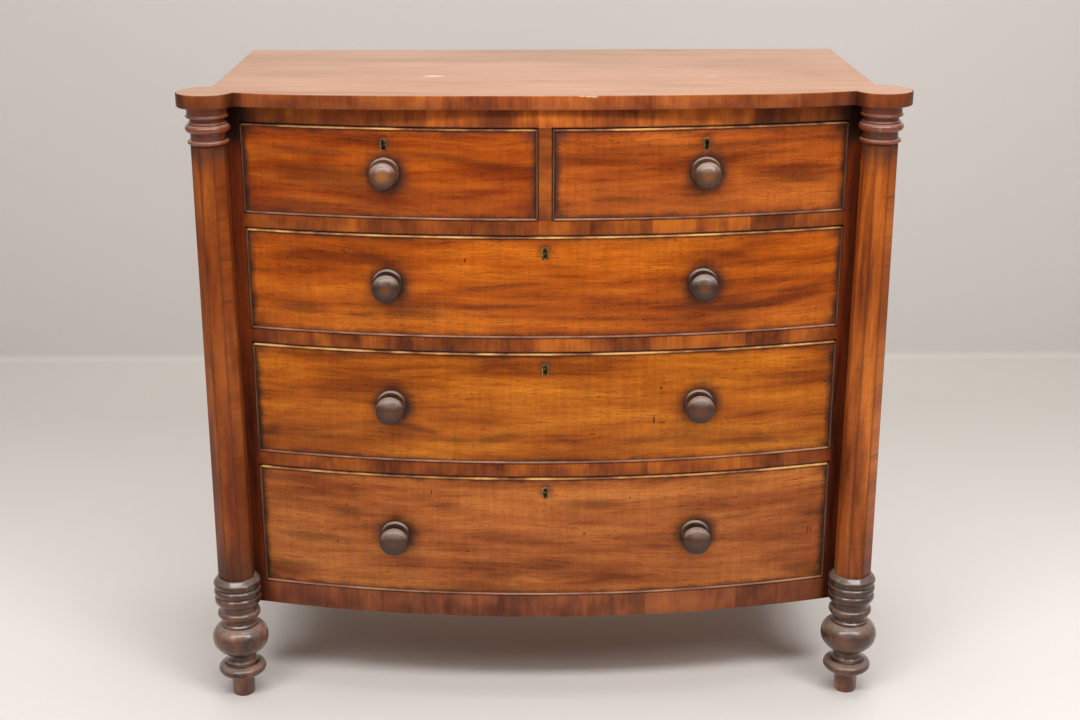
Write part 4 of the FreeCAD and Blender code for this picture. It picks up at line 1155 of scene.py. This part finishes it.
# %% Carcass pieces
# the finish, the width of the rounded edge, whether the piece follows the bow, and its slot
CARCASS = {
    "side_panels": ("panels", 0.0008, False, "polished_mahogany"),
    "back_panel": ("back", 0.0006, False, "pine"),
    "corner_posts": ("stiles", 0.0006, True, "crossbanded_veneer"),
    "drawer_rails": ("rails", 0.0005, True, "crossbanded_veneer"),
    "bottom_rail": ("bottom_rail", 0.0010, True, "crossbanded_veneer"),
    "centre_muntin": ("muntin", 0.0005, True, "crossbanded_veneer"),
}
for node, (finish, arris, on_bow, slot) in CARCASS.items():
    piece = dress(softened(node, arris, on_bow), finishes[finish], "carcass", slot, node)
    print(f"{node:14s} {len(piece.data.polygons):6d} faces")

HIDDEN = {
    "drawer_runners": "frame",
    "dustboards": "old_boards",
    "drawer_stops": "frame",
    "rear_foot_blocks": "frame",
}
for node, finish in HIDDEN.items():
    paint_node(node, finishes[finish])
print(len(CARCASS), "softened pieces and", len(HIDDEN), "painted ones")

# %% [markdown]
# ## Arcs
#
# The outline of the top is a closed string of arcs and straight runs. Three short functions draw its
# points, a few millimetres apart. Each leaves its last point out, because the next run starts there.

# %% Arcs and straight runs
OUTLINE_STEP = 0.004


def arc(centre, radius, start, end):
    """Points from one angle to another round a centre, the last one left out."""
    count = max(2, round(abs(end - start) * radius / OUTLINE_STEP))
    steps = [start + (end - start) * step / count for step in range(count)]
    return [Vector((centre.x + radius * math.cos(a), centre.y + radius * math.sin(a))) for a in steps]


def arc_between(first, last, radius):
    """The short counter-clockwise arc of this radius from first to last."""
    run = last - first
    left = Vector((-run.y, run.x)).normalized()
    centre = (first + last) / 2 + left * math.sqrt(radius ** 2 - (run.length / 2) ** 2)
    start = math.atan2(first.y - centre.y, first.x - centre.x)
    end = math.atan2(last.y - centre.y, last.x - centre.x)
    return arc(centre, radius, start, end if end > start else end + math.tau)


def straight(first, last):
    """Points from first towards last, the last one left out."""
    count = max(1, round((last - first).length / OUTLINE_STEP))
    return [first.lerp(last, step / count) for step in range(count)]


print("points on a metre of straight edge:", len(straight(Vector((0, 0)), Vector((1, 0)))))

# %% [markdown]
# ## The outline of the top
#
# The top is one wide board with a round ear over each column and a front edge that bows with the drawers:
# a shallow arc in the middle, and a tighter one at each end that runs into the notch beside the ear. The
# tighter arcs leave the shallow one without a kink, which fixes their radius.

# %% Outline of the top
EAR_RADIUS = 0.047
NOTCH_SET = 0.014
TOP_SIDE = 0.532
SHALLOW_HALF = 0.330
SHALLOW_RISE = 0.0105
top_low, top_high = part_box("top_board")
notch_x = COLUMN_X - math.sqrt(EAR_RADIUS ** 2 - NOTCH_SET ** 2)
notch_y = column_y - NOTCH_SET


def top_outline():
    """The top's edge, counter-clockwise from its back left corner."""
    shallow_radius = (SHALLOW_HALF ** 2 + SHALLOW_RISE ** 2) / (2 * SHALLOW_RISE)
    shoulder = Vector((SHALLOW_HALF, top_low.y + SHALLOW_RISE))
    notch = Vector((notch_x, notch_y))
    run = notch - shoulder
    slope = math.asin(SHALLOW_HALF / shallow_radius)
    turn_radius = run.length / (2 * math.sin(math.atan2(run.y, run.x) - slope))
    ear = Vector((COLUMN_X, column_y))
    inner_turn = math.atan2(-NOTCH_SET, notch_x - COLUMN_X)
    outer_turn = math.acos((TOP_SIDE - COLUMN_X) / EAR_RADIUS)
    side = Vector((TOP_SIDE, ear.y + EAR_RADIUS * math.sin(outer_turn)))
    corner = Vector((TOP_SIDE, top_high.y))
    flip = Vector((-1, 1))
    return (
        straight(corner * flip, side * flip)
        + arc(ear * flip, EAR_RADIUS, math.pi - outer_turn, math.pi - inner_turn)
        + arc_between(notch * flip, shoulder * flip, turn_radius)
        + arc_between(shoulder * flip, shoulder, shallow_radius)
        + arc_between(shoulder, notch, turn_radius)
        + arc(ear, EAR_RADIUS, inner_turn, outer_turn)
        + straight(side, corner)
        + straight(corner, corner * flip)
    )


print("the top's outline has", len(top_outline()), "points")

# %% [markdown]
# ## The top board
#
# The outline is drawn several times, one above another and some a little smaller, to round the edge over,
# and faces are stretched between them. A UV map measures the way round, so that the veneer's leaves can
# follow the edge.

# %% Top board
TOP_ARRIS = 0.0014
ARRIS_STEPS = 4


def inward(points, index, inset):
    """A point of a closed outline moved inwards, square to both of its neighbours' runs."""
    point = points[index]
    before = (point - points[index - 1]).normalized()
    after = (points[(index + 1) % len(points)] - point).normalized()
    normal = Vector((-before.y - after.y, before.x + after.x)).normalized()
    return point + normal * (inset / max(0.5, normal.dot(Vector((-before.y, before.x)))))


def top_board():
    """The board with its rounded edge. Its faces are one finish and its edge is another."""
    points = top_outline()
    levels = [(top_low.z, TOP_ARRIS), (top_low.z + TOP_ARRIS, 0.0)]
    for step in range(ARRIS_STEPS + 1):
        turn = math.pi / 2 * step / ARRIS_STEPS
        levels.append((top_high.z - TOP_ARRIS * (1 - math.sin(turn)), TOP_ARRIS * (1 - math.cos(turn))))
    build = bmesh.new()
    lengths = build.loops.layers.uv.new("along")
    rings = [
        [build.verts.new((*inward(points, index, inset), z)) for index in range(len(points))]
        for z, inset in levels
    ]
    travelled = 0.0
    for index, point in enumerate(points):
        following = (index + 1) % len(points)
        further = travelled + (points[following] - point).length
        for lower, upper in zip(rings, rings[1:]):
            face = build.faces.new((lower[index], lower[following], upper[following], upper[index]))
            face.material_index = 1
            for loop, length in zip(face.loops, (travelled, further, further, travelled)):
                loop[lengths].uv = (length, loop.vert.co.z)
        travelled = further
    caps = [build.faces.new(reversed(rings[0])), build.faces.new(rings[-1])]
    bmesh.ops.triangulate(build, faces=caps)
    piece = add_object("top", mesh_of(build, "top"))
    piece.data.materials.append(finishes["top"])
    piece.data.materials.append(finishes["top_edge"])
    print(f"the top's edge is {travelled:.3f} m round")
    return smoothed(piece)


dress(top_board(), finishes["top"], "carcass", "polished_mahogany", "top_board")

# %% [markdown]
# ## Profiles of turned work
#
# A turner cuts a profile into a spinning billet. Here the profile is a list of corners, each with its
# radius and its height, and the bend of the cut that leads to it: a positive bend is the radius of a
# swelling cut, a negative one of a hollow cut, and 0 is straight. Sharp corners are eased a little, as
# sandpaper eases them.

# %% Profiles
MM = 0.001
CUT_STEP = 0.0012
EASE = 0.0004
SHARP = math.radians(25)


def profile_points(corners):
    """The profile as points, arcs included, with a flag on each point that is a corner."""
    points = [(Vector(corners[0][:2]) * MM, True)]
    for radius, height, bend in corners[1:]:
        start = points[-1][0]
        end = Vector((radius, height)) * MM
        run = end - start
        if bend:
            out = Vector((run.y, -run.x)).normalized() * math.copysign(1, bend)
            depth = math.sqrt((bend * MM) ** 2 - (run.length / 2) ** 2)
            half_turn = math.asin(run.length / 2 / abs(bend * MM))
            centre = (start + end) / 2 - out * depth
            count = max(4, round(2 * half_turn * abs(bend * MM) / CUT_STEP))
            for step in range(1, count):
                turn = half_turn * (2 * step / count - 1)
                spoke = out * math.cos(turn) + run.normalized() * math.sin(turn)
                points.append((centre + spoke * abs(bend * MM), False))
        points.append((end, True))
    return points


def eased(points, closed):
    """The profile with its sharp corners rounded over."""
    smooth = []
    for index, (point, corner) in enumerate(points):
        at_end = not closed and index in (0, len(points) - 1)
        before = points[index - 1][0] - point
        after = points[(index + 1) % len(points)][0] - point
        if at_end or not corner or math.pi - before.angle(after, math.pi) < SHARP:
            smooth.append(point)
            continue
        first = point + before.normalized() * min(EASE, before.length * 0.4)
        last = point + after.normalized() * min(EASE, after.length * 0.4)
        smooth += [first, (first + last + 2 * point) / 4, last]
    return smooth


square_peg = profile_points(((0, 0, 0), (10, 0, 0), (10, 20, 0), (0, 20, 0)))
print("a plain peg's profile has", len(square_peg), "points, eased", len(eased(square_peg, False)))

# %% [markdown]
# ## The lathe
#
# The lathe carries a profile round its axis and joins the rings with faces. On the way it notes, on every
# point, its radius, its height, how far its ring stands out from the rings close by, and how far the
# surface faces up there. The finishes of the turned work read these numbers.

# %% Lathe
TURN_STEPS = 96
CREST_REACH = 0.006


def crests(rings):
    """How far each ring of a profile stands out from the profile's mean radius close by."""
    outs = []
    for radius, height in rings:
        near = [other for other, level in rings if abs(level - height) < CREST_REACH]
        outs.append(radius - sum(near) / len(near))
    return outs


def turned(name, corners, places, scribed_from=None):
    """A piece turned about the Z axis and set in each of the places.

    What lies further out than scribed_from and behind the bow is pushed forward onto the bow, as a
    joiner scribes a knob to its drawer.
    """
    hollow = corners[0][0] > 0 and corners[-1][0] > 0
    rings = eased(profile_points(corners), hollow)
    build = bmesh.new()
    for label in ("radius", "height", "crest", "upward"):
        build.verts.layers.float.new(label)
    own_radius, own_height, own_crest, own_upward = build.verts.layers.float.values()

    def point(place, radius, height, crest, turn):
        spot = place @ Vector((radius * math.cos(turn), radius * math.sin(turn), height))
        if scribed_from is not None and radius > scribed_from:
            spot.y = min(spot.y, bow_y(spot.x))
        made = build.verts.new(spot)
        made[own_radius], made[own_height], made[own_crest] = radius, height, crest
        return made

    for place in places:
        made = []
        for (radius, height), crest in zip(rings, crests(rings)):
            if radius < EASE / 10:
                made.append([point(place, 0.0, height, crest, 0.0)] * TURN_STEPS)
            else:
                turns = [math.tau * step / TURN_STEPS for step in range(TURN_STEPS)]
                made.append([point(place, radius, height, crest, turn) for turn in turns])
        pairs = list(zip(made, made[1:])) + ([(made[-1], made[0])] if hollow else [])
        for lower, upper in pairs:
            for step in range(TURN_STEPS):
                after = (step + 1) % TURN_STEPS
                corners_round = dict.fromkeys((lower[step], lower[after], upper[after], upper[step]))
                build.faces.new(corners_round)
    if scribed_from is not None:
        bmesh.ops.remove_doubles(build, verts=build.verts, dist=MERGE)
    bmesh.ops.recalc_face_normals(build, faces=build.faces)
    build.normal_update()
    for vertex in build.verts:
        vertex[own_upward] = vertex.normal.z
    piece = add_object(name, mesh_of(build, name))
    print(f"{name:24s} {len(piece.data.polygons):6d} faces")
    return smoothed(piece)


print("the lathe makes", TURN_STEPS, "steps in a turn")

# %% [markdown]
# ## Capitals, bases and feet
#
# A capital has a thin ring, a torus over a recess, a small bead, another thin ring and a plain neck under
# the ear of the top. A column's base swells and carries two rings. A foot is a peg under a saucer, a waist,
# a bulb and a bead, and its dowel goes up into the base. The back feet are the same turning with a shorter
# dowel.

# %% Turned profiles
# radius, height and bend, in millimetres
CAPITAL = (
    (0, 0, 0), (30.6, 0, 0), (30.6, 6.5, 3.4), (28, 6.5, 0), (28, 19, 0), (31.6, 19, 0), (31.6, 31.5, 6.8),
    (29.5, 31.5, 0), (29.5, 35, 1.8), (27.8, 35, 0), (27.8, 42, 0), (32.6, 42, 0), (32.6, 47, 2.8),
    (32, 47, 0), (32, 60, 0), (0, 60, 0),
)
COLUMN_BASE = (
    (12.1, 0, 0), (33, 0, 0), (33, 11, 0), (37.2, 28, 10), (37.2, 29, 0), (37.2, 29.5, 0),
    (37.2, 43, 8.3), (37.2, 44.5, 0), (37.2, 58, 8.3), (33.7, 63, 0), (12.1, 63, 0),
)
FOOT = (
    (0, 0, 0), (18, 0, 0), (19.2, 3, 0), (20, 34, 0), (36.3, 43.5, 0), (36.3, 59, 8.6), (27.5, 64, -22),
    (27.5, 66.5, 0), (25.5, 68, 0), (25.5, 82.5, -11), (29.5, 84, 0), (48.4, 112, 30.19),
    (30.5, 137, 26.41), (31, 137, 0), (31, 140, 1.8), (29.3, 141.5, 0), (29.3, 151.5, -9), (33, 151.5, 0),
    (33, 165, 7.6), (12, 165, 0),
)
DOWEL_RADIUS = 12
FRONT_DOWEL, REAR_DOWEL = 228, 183


def upright(x, y, z):
    """The places of a turning and of its twin on the other side, standing at a height."""
    return [Matrix.Translation((-x, y, z)), Matrix.Translation((x, y, z))]


def foot_with_dowel(top):
    """A foot's profile, closed by a dowel that reaches up to this height."""
    return (*FOOT, (DOWEL_RADIUS, top, 0), (0, top, 0))


block_low, block_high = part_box("rear_foot_blocks")
rear_y = (block_low.y + block_high.y) / 2
rear_x = block_high.x - (block_high.y - block_low.y) / 2     # the blocks are square
base_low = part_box("column_bases")[0].z
capital_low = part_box("capitals")[0].z
capitals = turned("capitals_turned", CAPITAL, upright(COLUMN_X, column_y, capital_low))
bases = turned("bases_turned", COLUMN_BASE, upright(COLUMN_X, column_y, base_low))
front_feet = turned("front_feet", foot_with_dowel(FRONT_DOWEL), upright(COLUMN_X, column_y, 0))
rear_feet = turned("rear_feet", foot_with_dowel(REAR_DOWEL), upright(rear_x, rear_y, 0))
dress(capitals, finishes["turnings"], "carcass", "turned_mahogany", "capitals")
dress(bases, finishes["turnings"], "carcass", "turned_mahogany", "column_bases")
dress(front_feet, finishes["turnings"], "carcass", "turned_mahogany", "turned_feet")
dress(rear_feet, finishes["turnings"], "carcass", "turned_mahogany")

# %% [markdown]
# ## Shapes that follow a rule
#
# Geometry Nodes build a shape from inputs with names. The next cell has what both trees below share: one
# function opens a tree with its inputs, one closes it, and one grows a piece, turning the result into a
# plain mesh so that it can ride on a body like any other piece.

# %% Rules


def open_rule(name, *inputs):
    """A Geometry Nodes tree with these named inputs, and the sockets that bring them in."""
    tree = bpy.data.node_groups.new(name, "GeometryNodeTree")
    tree.interface.new_socket("Geometry", in_out="INPUT", socket_type="NodeSocketGeometry")
    for label in inputs:
        tree.interface.new_socket(label, in_out="INPUT", socket_type="NodeSocketFloat")
    tree.interface.new_socket("Finish", in_out="INPUT", socket_type="NodeSocketMaterial")
    tree.interface.new_socket("Geometry", in_out="OUTPUT", socket_type="NodeSocketGeometry")
    return tree, tree.nodes.new("NodeGroupInput").outputs


def close_rule(tree, geometry, finish):
    """The end of a tree: instances made real, and the finish set."""
    whole = add_node(tree, "GeometryNodeRealizeInstances", {}, {"Geometry": geometry})
    dressed = add_node(
        tree, "GeometryNodeSetMaterial", {}, {"Geometry": whole.outputs[0], "Material": finish},
    )
    add_node(tree, "NodeGroupOutput", {}, {0: dressed.outputs[0]})
    return tree


def grow(name, tree, inputs, path=((), (), ()), arris=0.0):
    """A piece made by a rule from its inputs and a path of points and edges."""
    mesh = bpy.data.meshes.new(f"{name}_path")
    mesh.from_pydata(*path)
    piece = add_object(name, mesh)
    rule = piece.modifiers.new("rule", "NODES")
    rule.node_group = tree
    for item in tree.interface.items_tree:
        if item.in_out == "INPUT" and item.name in inputs:
            rule[item.identifier] = inputs[item.name]
    if arris:
        round_edges(piece, arris, 3)
    settled(piece)
    build = bmesh.new()
    build.from_mesh(piece.data)
    bmesh.ops.recalc_face_normals(build, faces=build.faces)
    build.to_mesh(piece.data)
    build.free()
    print(f"{name:24s} {len(piece.data.polygons):6d} faces")
    return piece


print("three functions open a rule, close it and grow a piece from it")

# %% [markdown]
# ## The octagonal columns
#
# A column has eight flat sides and tapers from foot to head. A cone with eight sides and its point cut off
# is just that shape. It is turned by half a side, so that a flat side faces the front, and set on two
# points, one for each column.

# %% Columns
COLUMN_FOOT_RADIUS = 0.0323
COLUMN_HEAD_RADIUS = 0.0292
COLUMN_ARRIS = 0.0012


def column_rule():
    """Two tapered shafts, one on each side."""
    tree, given = open_rule(
        "octagonal column", "Foot Radius", "Head Radius", "Foot Height", "Height", "Across", "Back",
    )
    shaft = add_node(
        tree, "GeometryNodeMeshCone", {"fill_type": "NGON"},
        {"Vertices": SIDES, "Radius Bottom": given["Foot Radius"], "Radius Top": given["Head Radius"],
         "Depth": given["Height"]},
    )
    turned_shaft = add_node(
        tree, "GeometryNodeTransform", {},
        {"Geometry": shaft.outputs["Mesh"], "Rotation": (0, 0, math.pi / SIDES)},
    )
    across = Value(tree, given["Across"])
    start = add_node(
        tree, "ShaderNodeCombineXYZ", {}, {"X": across * -1, "Y": given["Back"], "Z": given["Foot Height"]},
    )
    step = add_node(tree, "ShaderNodeCombineXYZ", {}, {"X": across * 2})
    points = add_node(
        tree, "GeometryNodeMeshLine", {},
        {"Count": 2, "Start Location": start.outputs[0], "Offset": step.outputs[0]},
    )
    pair = add_node(
        tree, "GeometryNodeInstanceOnPoints", {},
        {"Points": points.outputs[0], "Instance": turned_shaft.outputs[0]},
    )
    return close_rule(tree, pair.outputs[0], given["Finish"])


columns = grow("columns_shaped", column_rule(), {
    "Foot Radius": COLUMN_FOOT_RADIUS, "Head Radius": COLUMN_HEAD_RADIUS, "Foot Height": column_foot,
    "Height": column_head - column_foot, "Across": COLUMN_X, "Back": column_y,
    "Finish": finishes["columns"],
}, arris=COLUMN_ARRIS)
dress(columns, finishes["columns"], "carcass", "polished_mahogany", "columns")

# %% [markdown]
# ## A rule for cock beads
#
# A cock bead is a thin strip with a rounded nose, let in round the edge of a drawer's front. It guards the
# veneer's edge and throws a fine line of light round each drawer. Given a closed loop on the bow's surface,
# the tree turns it into a curve, points the curve's normals out from the bow's centre, and sweeps the
# strip's section along it. Only the two corners of the section at the nose are rounded.

# %% Rule for beads
NOSE_ROUND = 0.49            # as a share of the bead's width
NOSE_POINTS = 4


def bead_rule():
    """A strip with a rounded nose, swept along a loop, facing away from the bow's centre."""
    tree, given = open_rule("cock bead", "Width", "Depth", "Proud", "Bow Centre")
    width = Value(tree, given["Width"])
    curve = add_node(tree, "GeometryNodeMeshToCurve", {}, {"Mesh": given["Geometry"]})
    place = add_node(tree, "GeometryNodeInputPosition", {}, {})
    parts = add_node(tree, "ShaderNodeSeparateXYZ", {}, {"Vector": place.outputs[0]})
    forward = Value(tree, parts.outputs["Y"]) - Value(tree, given["Bow Centre"])
    out = add_node(tree, "ShaderNodeCombineXYZ", {}, {"X": parts.outputs["X"], "Y": forward})
    straightened = add_node(tree, "ShaderNodeVectorMath", {"operation": "NORMALIZE"}, {0: out.outputs[0]})
    facing = add_node(
        tree, "GeometryNodeSetCurveNormal", {"mode": "FREE"},
        {"Curve": curve.outputs[0], "Normal": straightened.outputs[0]},
    )
    section = add_node(
        tree, "GeometryNodeCurvePrimitiveQuadrilateral", {"mode": "RECTANGLE"},
        {"Width": given["Depth"], "Height": width},
    )
    set_out = Value(tree, given["Proud"]) - Value(tree, given["Depth"]) * 0.5
    shift = add_node(tree, "ShaderNodeCombineXYZ", {}, {"X": set_out})
    moved = add_node(
        tree, "GeometryNodeTransform", {}, {"Geometry": section.outputs[0], "Translation": shift.outputs[0]},
    )
    at_nose = Value(tree, parts.outputs["X"]).math("GREATER_THAN", Value(tree, parts.outputs["X"]), 0.0)
    rounded = add_node(
        tree, "GeometryNodeFilletCurve", {"mode": "POLY"},
        {"Curve": moved.outputs[0], "Count": NOSE_POINTS, "Radius": at_nose * width * NOSE_ROUND},
    )
    strip = add_node(
        tree, "GeometryNodeCurveToMesh", {},
        {"Curve": facing.outputs[0], "Profile Curve": rounded.outputs[0]},
    )
    return close_rule(tree, strip.outputs[0], given["Finish"])


cock_bead = bead_rule()
print("a bead's rule has", len(cock_bead.nodes), "nodes")

# %% [markdown]
# ## The cock beads
#
# Each bead's path is a loop round its drawer's front, half the bead's width in from the edge. It has many
# points along the bow, and two extra ones beside each corner to keep the mitre crisp.

# %% Cock beads
BEAD_WIDTH = 0.003
BEAD_DEPTH = 0.008
BEAD_PROUD = 0.0025
PATH_STEP = 0.010


def bead_path(name):
    """A closed loop round a drawer's front, along the middle of its bead."""
    low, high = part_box(f"{name}_front")
    inset = BEAD_WIDTH / 2
    left, right = low.x + inset, high.x - inset
    bottom, top_edge = low.z + inset, high.z - inset
    count = round((right - left) / PATH_STEP)
    across = [left, left + inset]
    across += [left + (right - left) * step / count for step in range(1, count)]
    across += [right - inset, right]
    loop = [(x, bottom) for x in across] + [(right, bottom + inset), (right, top_edge - inset)]
    loop += [(x, top_edge) for x in reversed(across)] + [(left, top_edge - inset), (left, bottom + inset)]
    edges = [(index, (index + 1) % len(loop)) for index in range(len(loop))]
    return [(x, bow_y(x), z) for x, z in loop], edges, ()


for name in DRAWERS:
    bead = grow(f"{name}_bead", cock_bead, {
        "Width": BEAD_WIDTH, "Depth": BEAD_DEPTH, "Proud": BEAD_PROUD, "Bow Centre": bow_centre,
        "Finish": finishes["bead"],
    }, bead_path(name))
    dress(bead, finishes["bead"], f"{name}_drawer", "polished_mahogany", f"{name}_cock_bead")

# %% [markdown]
# ## Knobs
#
# A knob is turned from one piece: a spigot that goes through the drawer's front, a round flange against
# the face, a neck and a round head with a shallow dome. It points straight forward, and the back of its
# flange is scribed to the bow. The heads grow a little wider from row to row.

# %% Knobs
KNOB_BACK = (
    (0, -18.5, 0), (8, -18.5, 0), (8, -4, 0), (8.1, -4, 0), (22.3, -4, 0), (22.3, 0, 0), (22.3, 9, 5.5),
    (12.5, 9, 0), (12.5, 22, 0),
)
HEAD_BACK, HEAD_FRONT = 26, 43
HEAD_SWELL = 14
KNOB_RIM = 19.1
KNOB_TAPER = 0.3
KNOB_GROWTH = 0.04
DOME_HEIGHT = 7
SPIGOT_RADIUS = 0.008
ROWS = {"left_short": 0, "right_short": 0, "upper_long": 1, "middle_long": 2, "lower_long": 3}


def knob_profile(row):
    """A knob's profile. Each lower row's knobs have wider heads."""
    rim = KNOB_RIM * (1 + KNOB_GROWTH * row)
    dome = (rim ** 2 + DOME_HEIGHT ** 2) / (2 * DOME_HEIGHT)
    return (
        *KNOB_BACK, (rim - KNOB_TAPER, HEAD_BACK, 0), (rim, HEAD_FRONT, HEAD_SWELL),
        (0, HEAD_FRONT + DOME_HEIGHT, dome),
    )


def on_front(x, z):
    """A place on the bow's surface, with the Z axis of what stands there pointing to the front."""
    return Matrix.Translation((x, bow_y(x), z)) @ Matrix.Rotation(math.pi / 2, 4, "X")


for name, places in DRAWERS.items():
    spots = [on_front(x, knob_height(name)) for x in places]
    knobs = turned(f"{name}_turned_knobs", knob_profile(ROWS[name]), spots, scribed_from=SPIGOT_RADIUS)
    dress(knobs, knob_finishes[name], f"{name}_drawer", "turned_mahogany", knob_node(name))

# %% [markdown]
# ## The rest of each drawer
#
# Behind each front is a plain box: sides, back and bottom of a pale lining timber. A brass liner edges the
# keyhole. The lock is let into the back of the front, and its bolt rises into the rail above. The bolt is a
# body of its own.

# %% Drawers
FRONT_ARRIS = 0.0004
BOLT_ARRIS = 0.0003

# the finish, the width of the rounded edge and the slot
DRAWER_PARTS = {
    "sides": ("linings", 0.0006, "pine"),
    "back": ("drawer_backs", 0.0006, "pine"),
    "bottom": ("boards", 0.0004, "pine"),
    "lock": ("brass", 0.0003, "brass"),
    "escutcheon": ("brass", 0.0003, "brass"),
}
for name in DRAWERS:
    front = dress(
        softened(f"{name}_front", FRONT_ARRIS, True), front_finishes[name], f"{name}_drawer",
        "polished_mahogany", f"{name}_front",
    )
    for part, (finish, arris, slot) in DRAWER_PARTS.items():
        node = f"{name}_{part}"
        dress(softened(node, arris), finishes[finish], f"{name}_drawer", slot, node)
    bolt = f"{name}_lock_bolt"
    dress(softened(bolt, BOLT_ARRIS), finishes["steel"], f"{name}_bolt", "steel", bolt)
    print(f"{name:12s} front {len(front.data.polygons)} faces")

# %% [markdown]
# ## The room
#
# The chest stands on a pale floor in front of a pale wall, and a small cove joins them. The floor is painted
# a little darker towards the wall, as shade. Seen from behind, the wall is see-through, so that it doesn't
# hide the chest's back.

# %% Floor and wall
WALL_Y = 1.67
ROOM_HALF = 6.0
ROOM_FRONT = -6.0
ROOM_HEIGHT = 5.0
COVE = 0.02
COVE_STEPS = 8
WALL_TONES = paints((206, 200, 196), (211, 205, 200))
NEAR_FLOOR, FAR_FLOOR_SHADE = paints((228, 222, 218), (205, 198, 192))
FLOOR_SHADE_FADE = (-0.4, 1.4)     # from near to far


def room_finish():
    """Matt pale paint on a wall and a floor. It is clear where it is seen from its back."""
    finish = Finish("room", 301, Roughness=0.9, Specular_IOR_Level=0.1)
    cloud = finish.noise(finish.place, (0.7, 0.7, 0.7), 1.0)
    wall = finish.ramp(cloud, *zip((0.3, 0.7), WALL_TONES))
    # painted shade: the floor darker towards the wall
    floor = finish.over(NEAR_FLOOR, FAR_FLOOR_SHADE, finish.y.rise(*FLOOR_SHADE_FADE))
    material = finish.done(finish.over(floor, wall, finish.z.rise(0.0, COVE)))
    clear = finish.node("ShaderNodeBsdfTransparent")
    behind = finish.node("ShaderNodeNewGeometry").outputs["Backfacing"]
    mixed = finish.node(
        "ShaderNodeMixShader", {}, {"Fac": behind, 1: finish.shader.outputs[0], 2: clear.outputs[0]},
    )
    finish.tree.links.new(mixed.outputs[0], finish.tree.nodes["Material Output"].inputs["Surface"])
    return material


def room():
    """Floor, cove and wall, as one strip from front to top."""
    line = [(ROOM_FRONT, 0.0)]
    for step in range(COVE_STEPS + 1):
        turn = math.pi / 2 * step / COVE_STEPS
        line.append((WALL_Y - COVE + COVE * math.sin(turn), COVE * (1 - math.cos(turn))))
    line.append((WALL_Y, ROOM_HEIGHT))
    verts = [(x, y, z) for y, z in line for x in (-ROOM_HALF, ROOM_HALF)]
    faces = [(2 * row, 2 * row + 1, 2 * row + 3, 2 * row + 2) for row in range(len(line) - 1)]
    mesh = bpy.data.meshes.new("room_shape")
    mesh.from_pydata(verts, [], faces)
    mesh.materials.append(room_finish())
    return smoothed(add_object("room", mesh))


room()
print("the room is", 2 * ROOM_HALF, "m wide, and its wall stands", WALL_Y, "m behind the chest's middle")

# %% [markdown]
# ## Light
#
# A long soft strip hangs across the room, above and in front of the chest. It draws one crescent of light
# along the upper side of every ring and knob. Two weaker boxes stand at the sides, the right one the
# stronger, and a wide light overhead and a dim world fill the rest, so that a colour renders about as it
# is written. The world gives little light, but what sees it directly, such as the camera or a polished
# rim, sees a pale grey room.

# %% Lights
# where each one hangs, where it aims, its width and depth, and its power in watts
SOFT_BOXES = {
    "strip": ((0.1, -2.0, 3.1), (0.0, 0.0, 0.5), (4.2, 0.5), 81),
    "right_box": ((2.0, -2.4, 2.9), (0.0, 0.0, 0.5), (1.2, 1.2), 25),
    "left_box": ((-2.0, -2.4, 2.8), (0.0, 0.0, 0.5), (1.2, 1.2), 17),
    "overhead": ((0.2, 0.3, 3.5), (0.1, 0.1, 0.0), (2.6, 2.6), 76),
}
for name, (place, aim, (width, depth), power) in SOFT_BOXES.items():
    data = bpy.data.lights.new(name, "AREA")
    data.shape = "RECTANGLE"
    data.size = width
    data.size_y = depth
    data.energy = power
    box = add_object(name, data)
    box.location = place
    box.rotation_euler = (Vector(aim) - Vector(place)).to_track_quat("-Z", "Y").to_euler()

WORLD_COLOUR = (1.0, 0.995, 0.985, 1.0)
WORLD_STRENGTH = 0.15
ROOM_SEEN = paint(186, 181, 176)
world = bpy.data.worlds.new("room_light")
world.use_nodes = True
sky = world.node_tree
lighting = sky.nodes["Background"]
lighting.inputs["Color"].default_value = WORLD_COLOUR
lighting.inputs["Strength"].default_value = WORLD_STRENGTH
seen = add_node(sky, "ShaderNodeBackground", {}, {"Color": ROOM_SEEN, "Strength": 1.0})
rays = add_node(sky, "ShaderNodeLightPath", {}, {}).outputs
looks = Value(sky, rays["Is Camera Ray"]).most(rays["Is Glossy Ray"]).most(rays["Is Transmission Ray"])
mixed = add_node(
    sky, "ShaderNodeMixShader", {}, {"Fac": looks, 1: lighting.outputs[0], 2: seen.outputs[0]},
)
sky.links.new(mixed.outputs[0], sky.nodes["World Output"].inputs["Surface"])
scene.world = world
print(len(SOFT_BOXES), "soft lights and the world")

# %% [markdown]
# ## Finishing
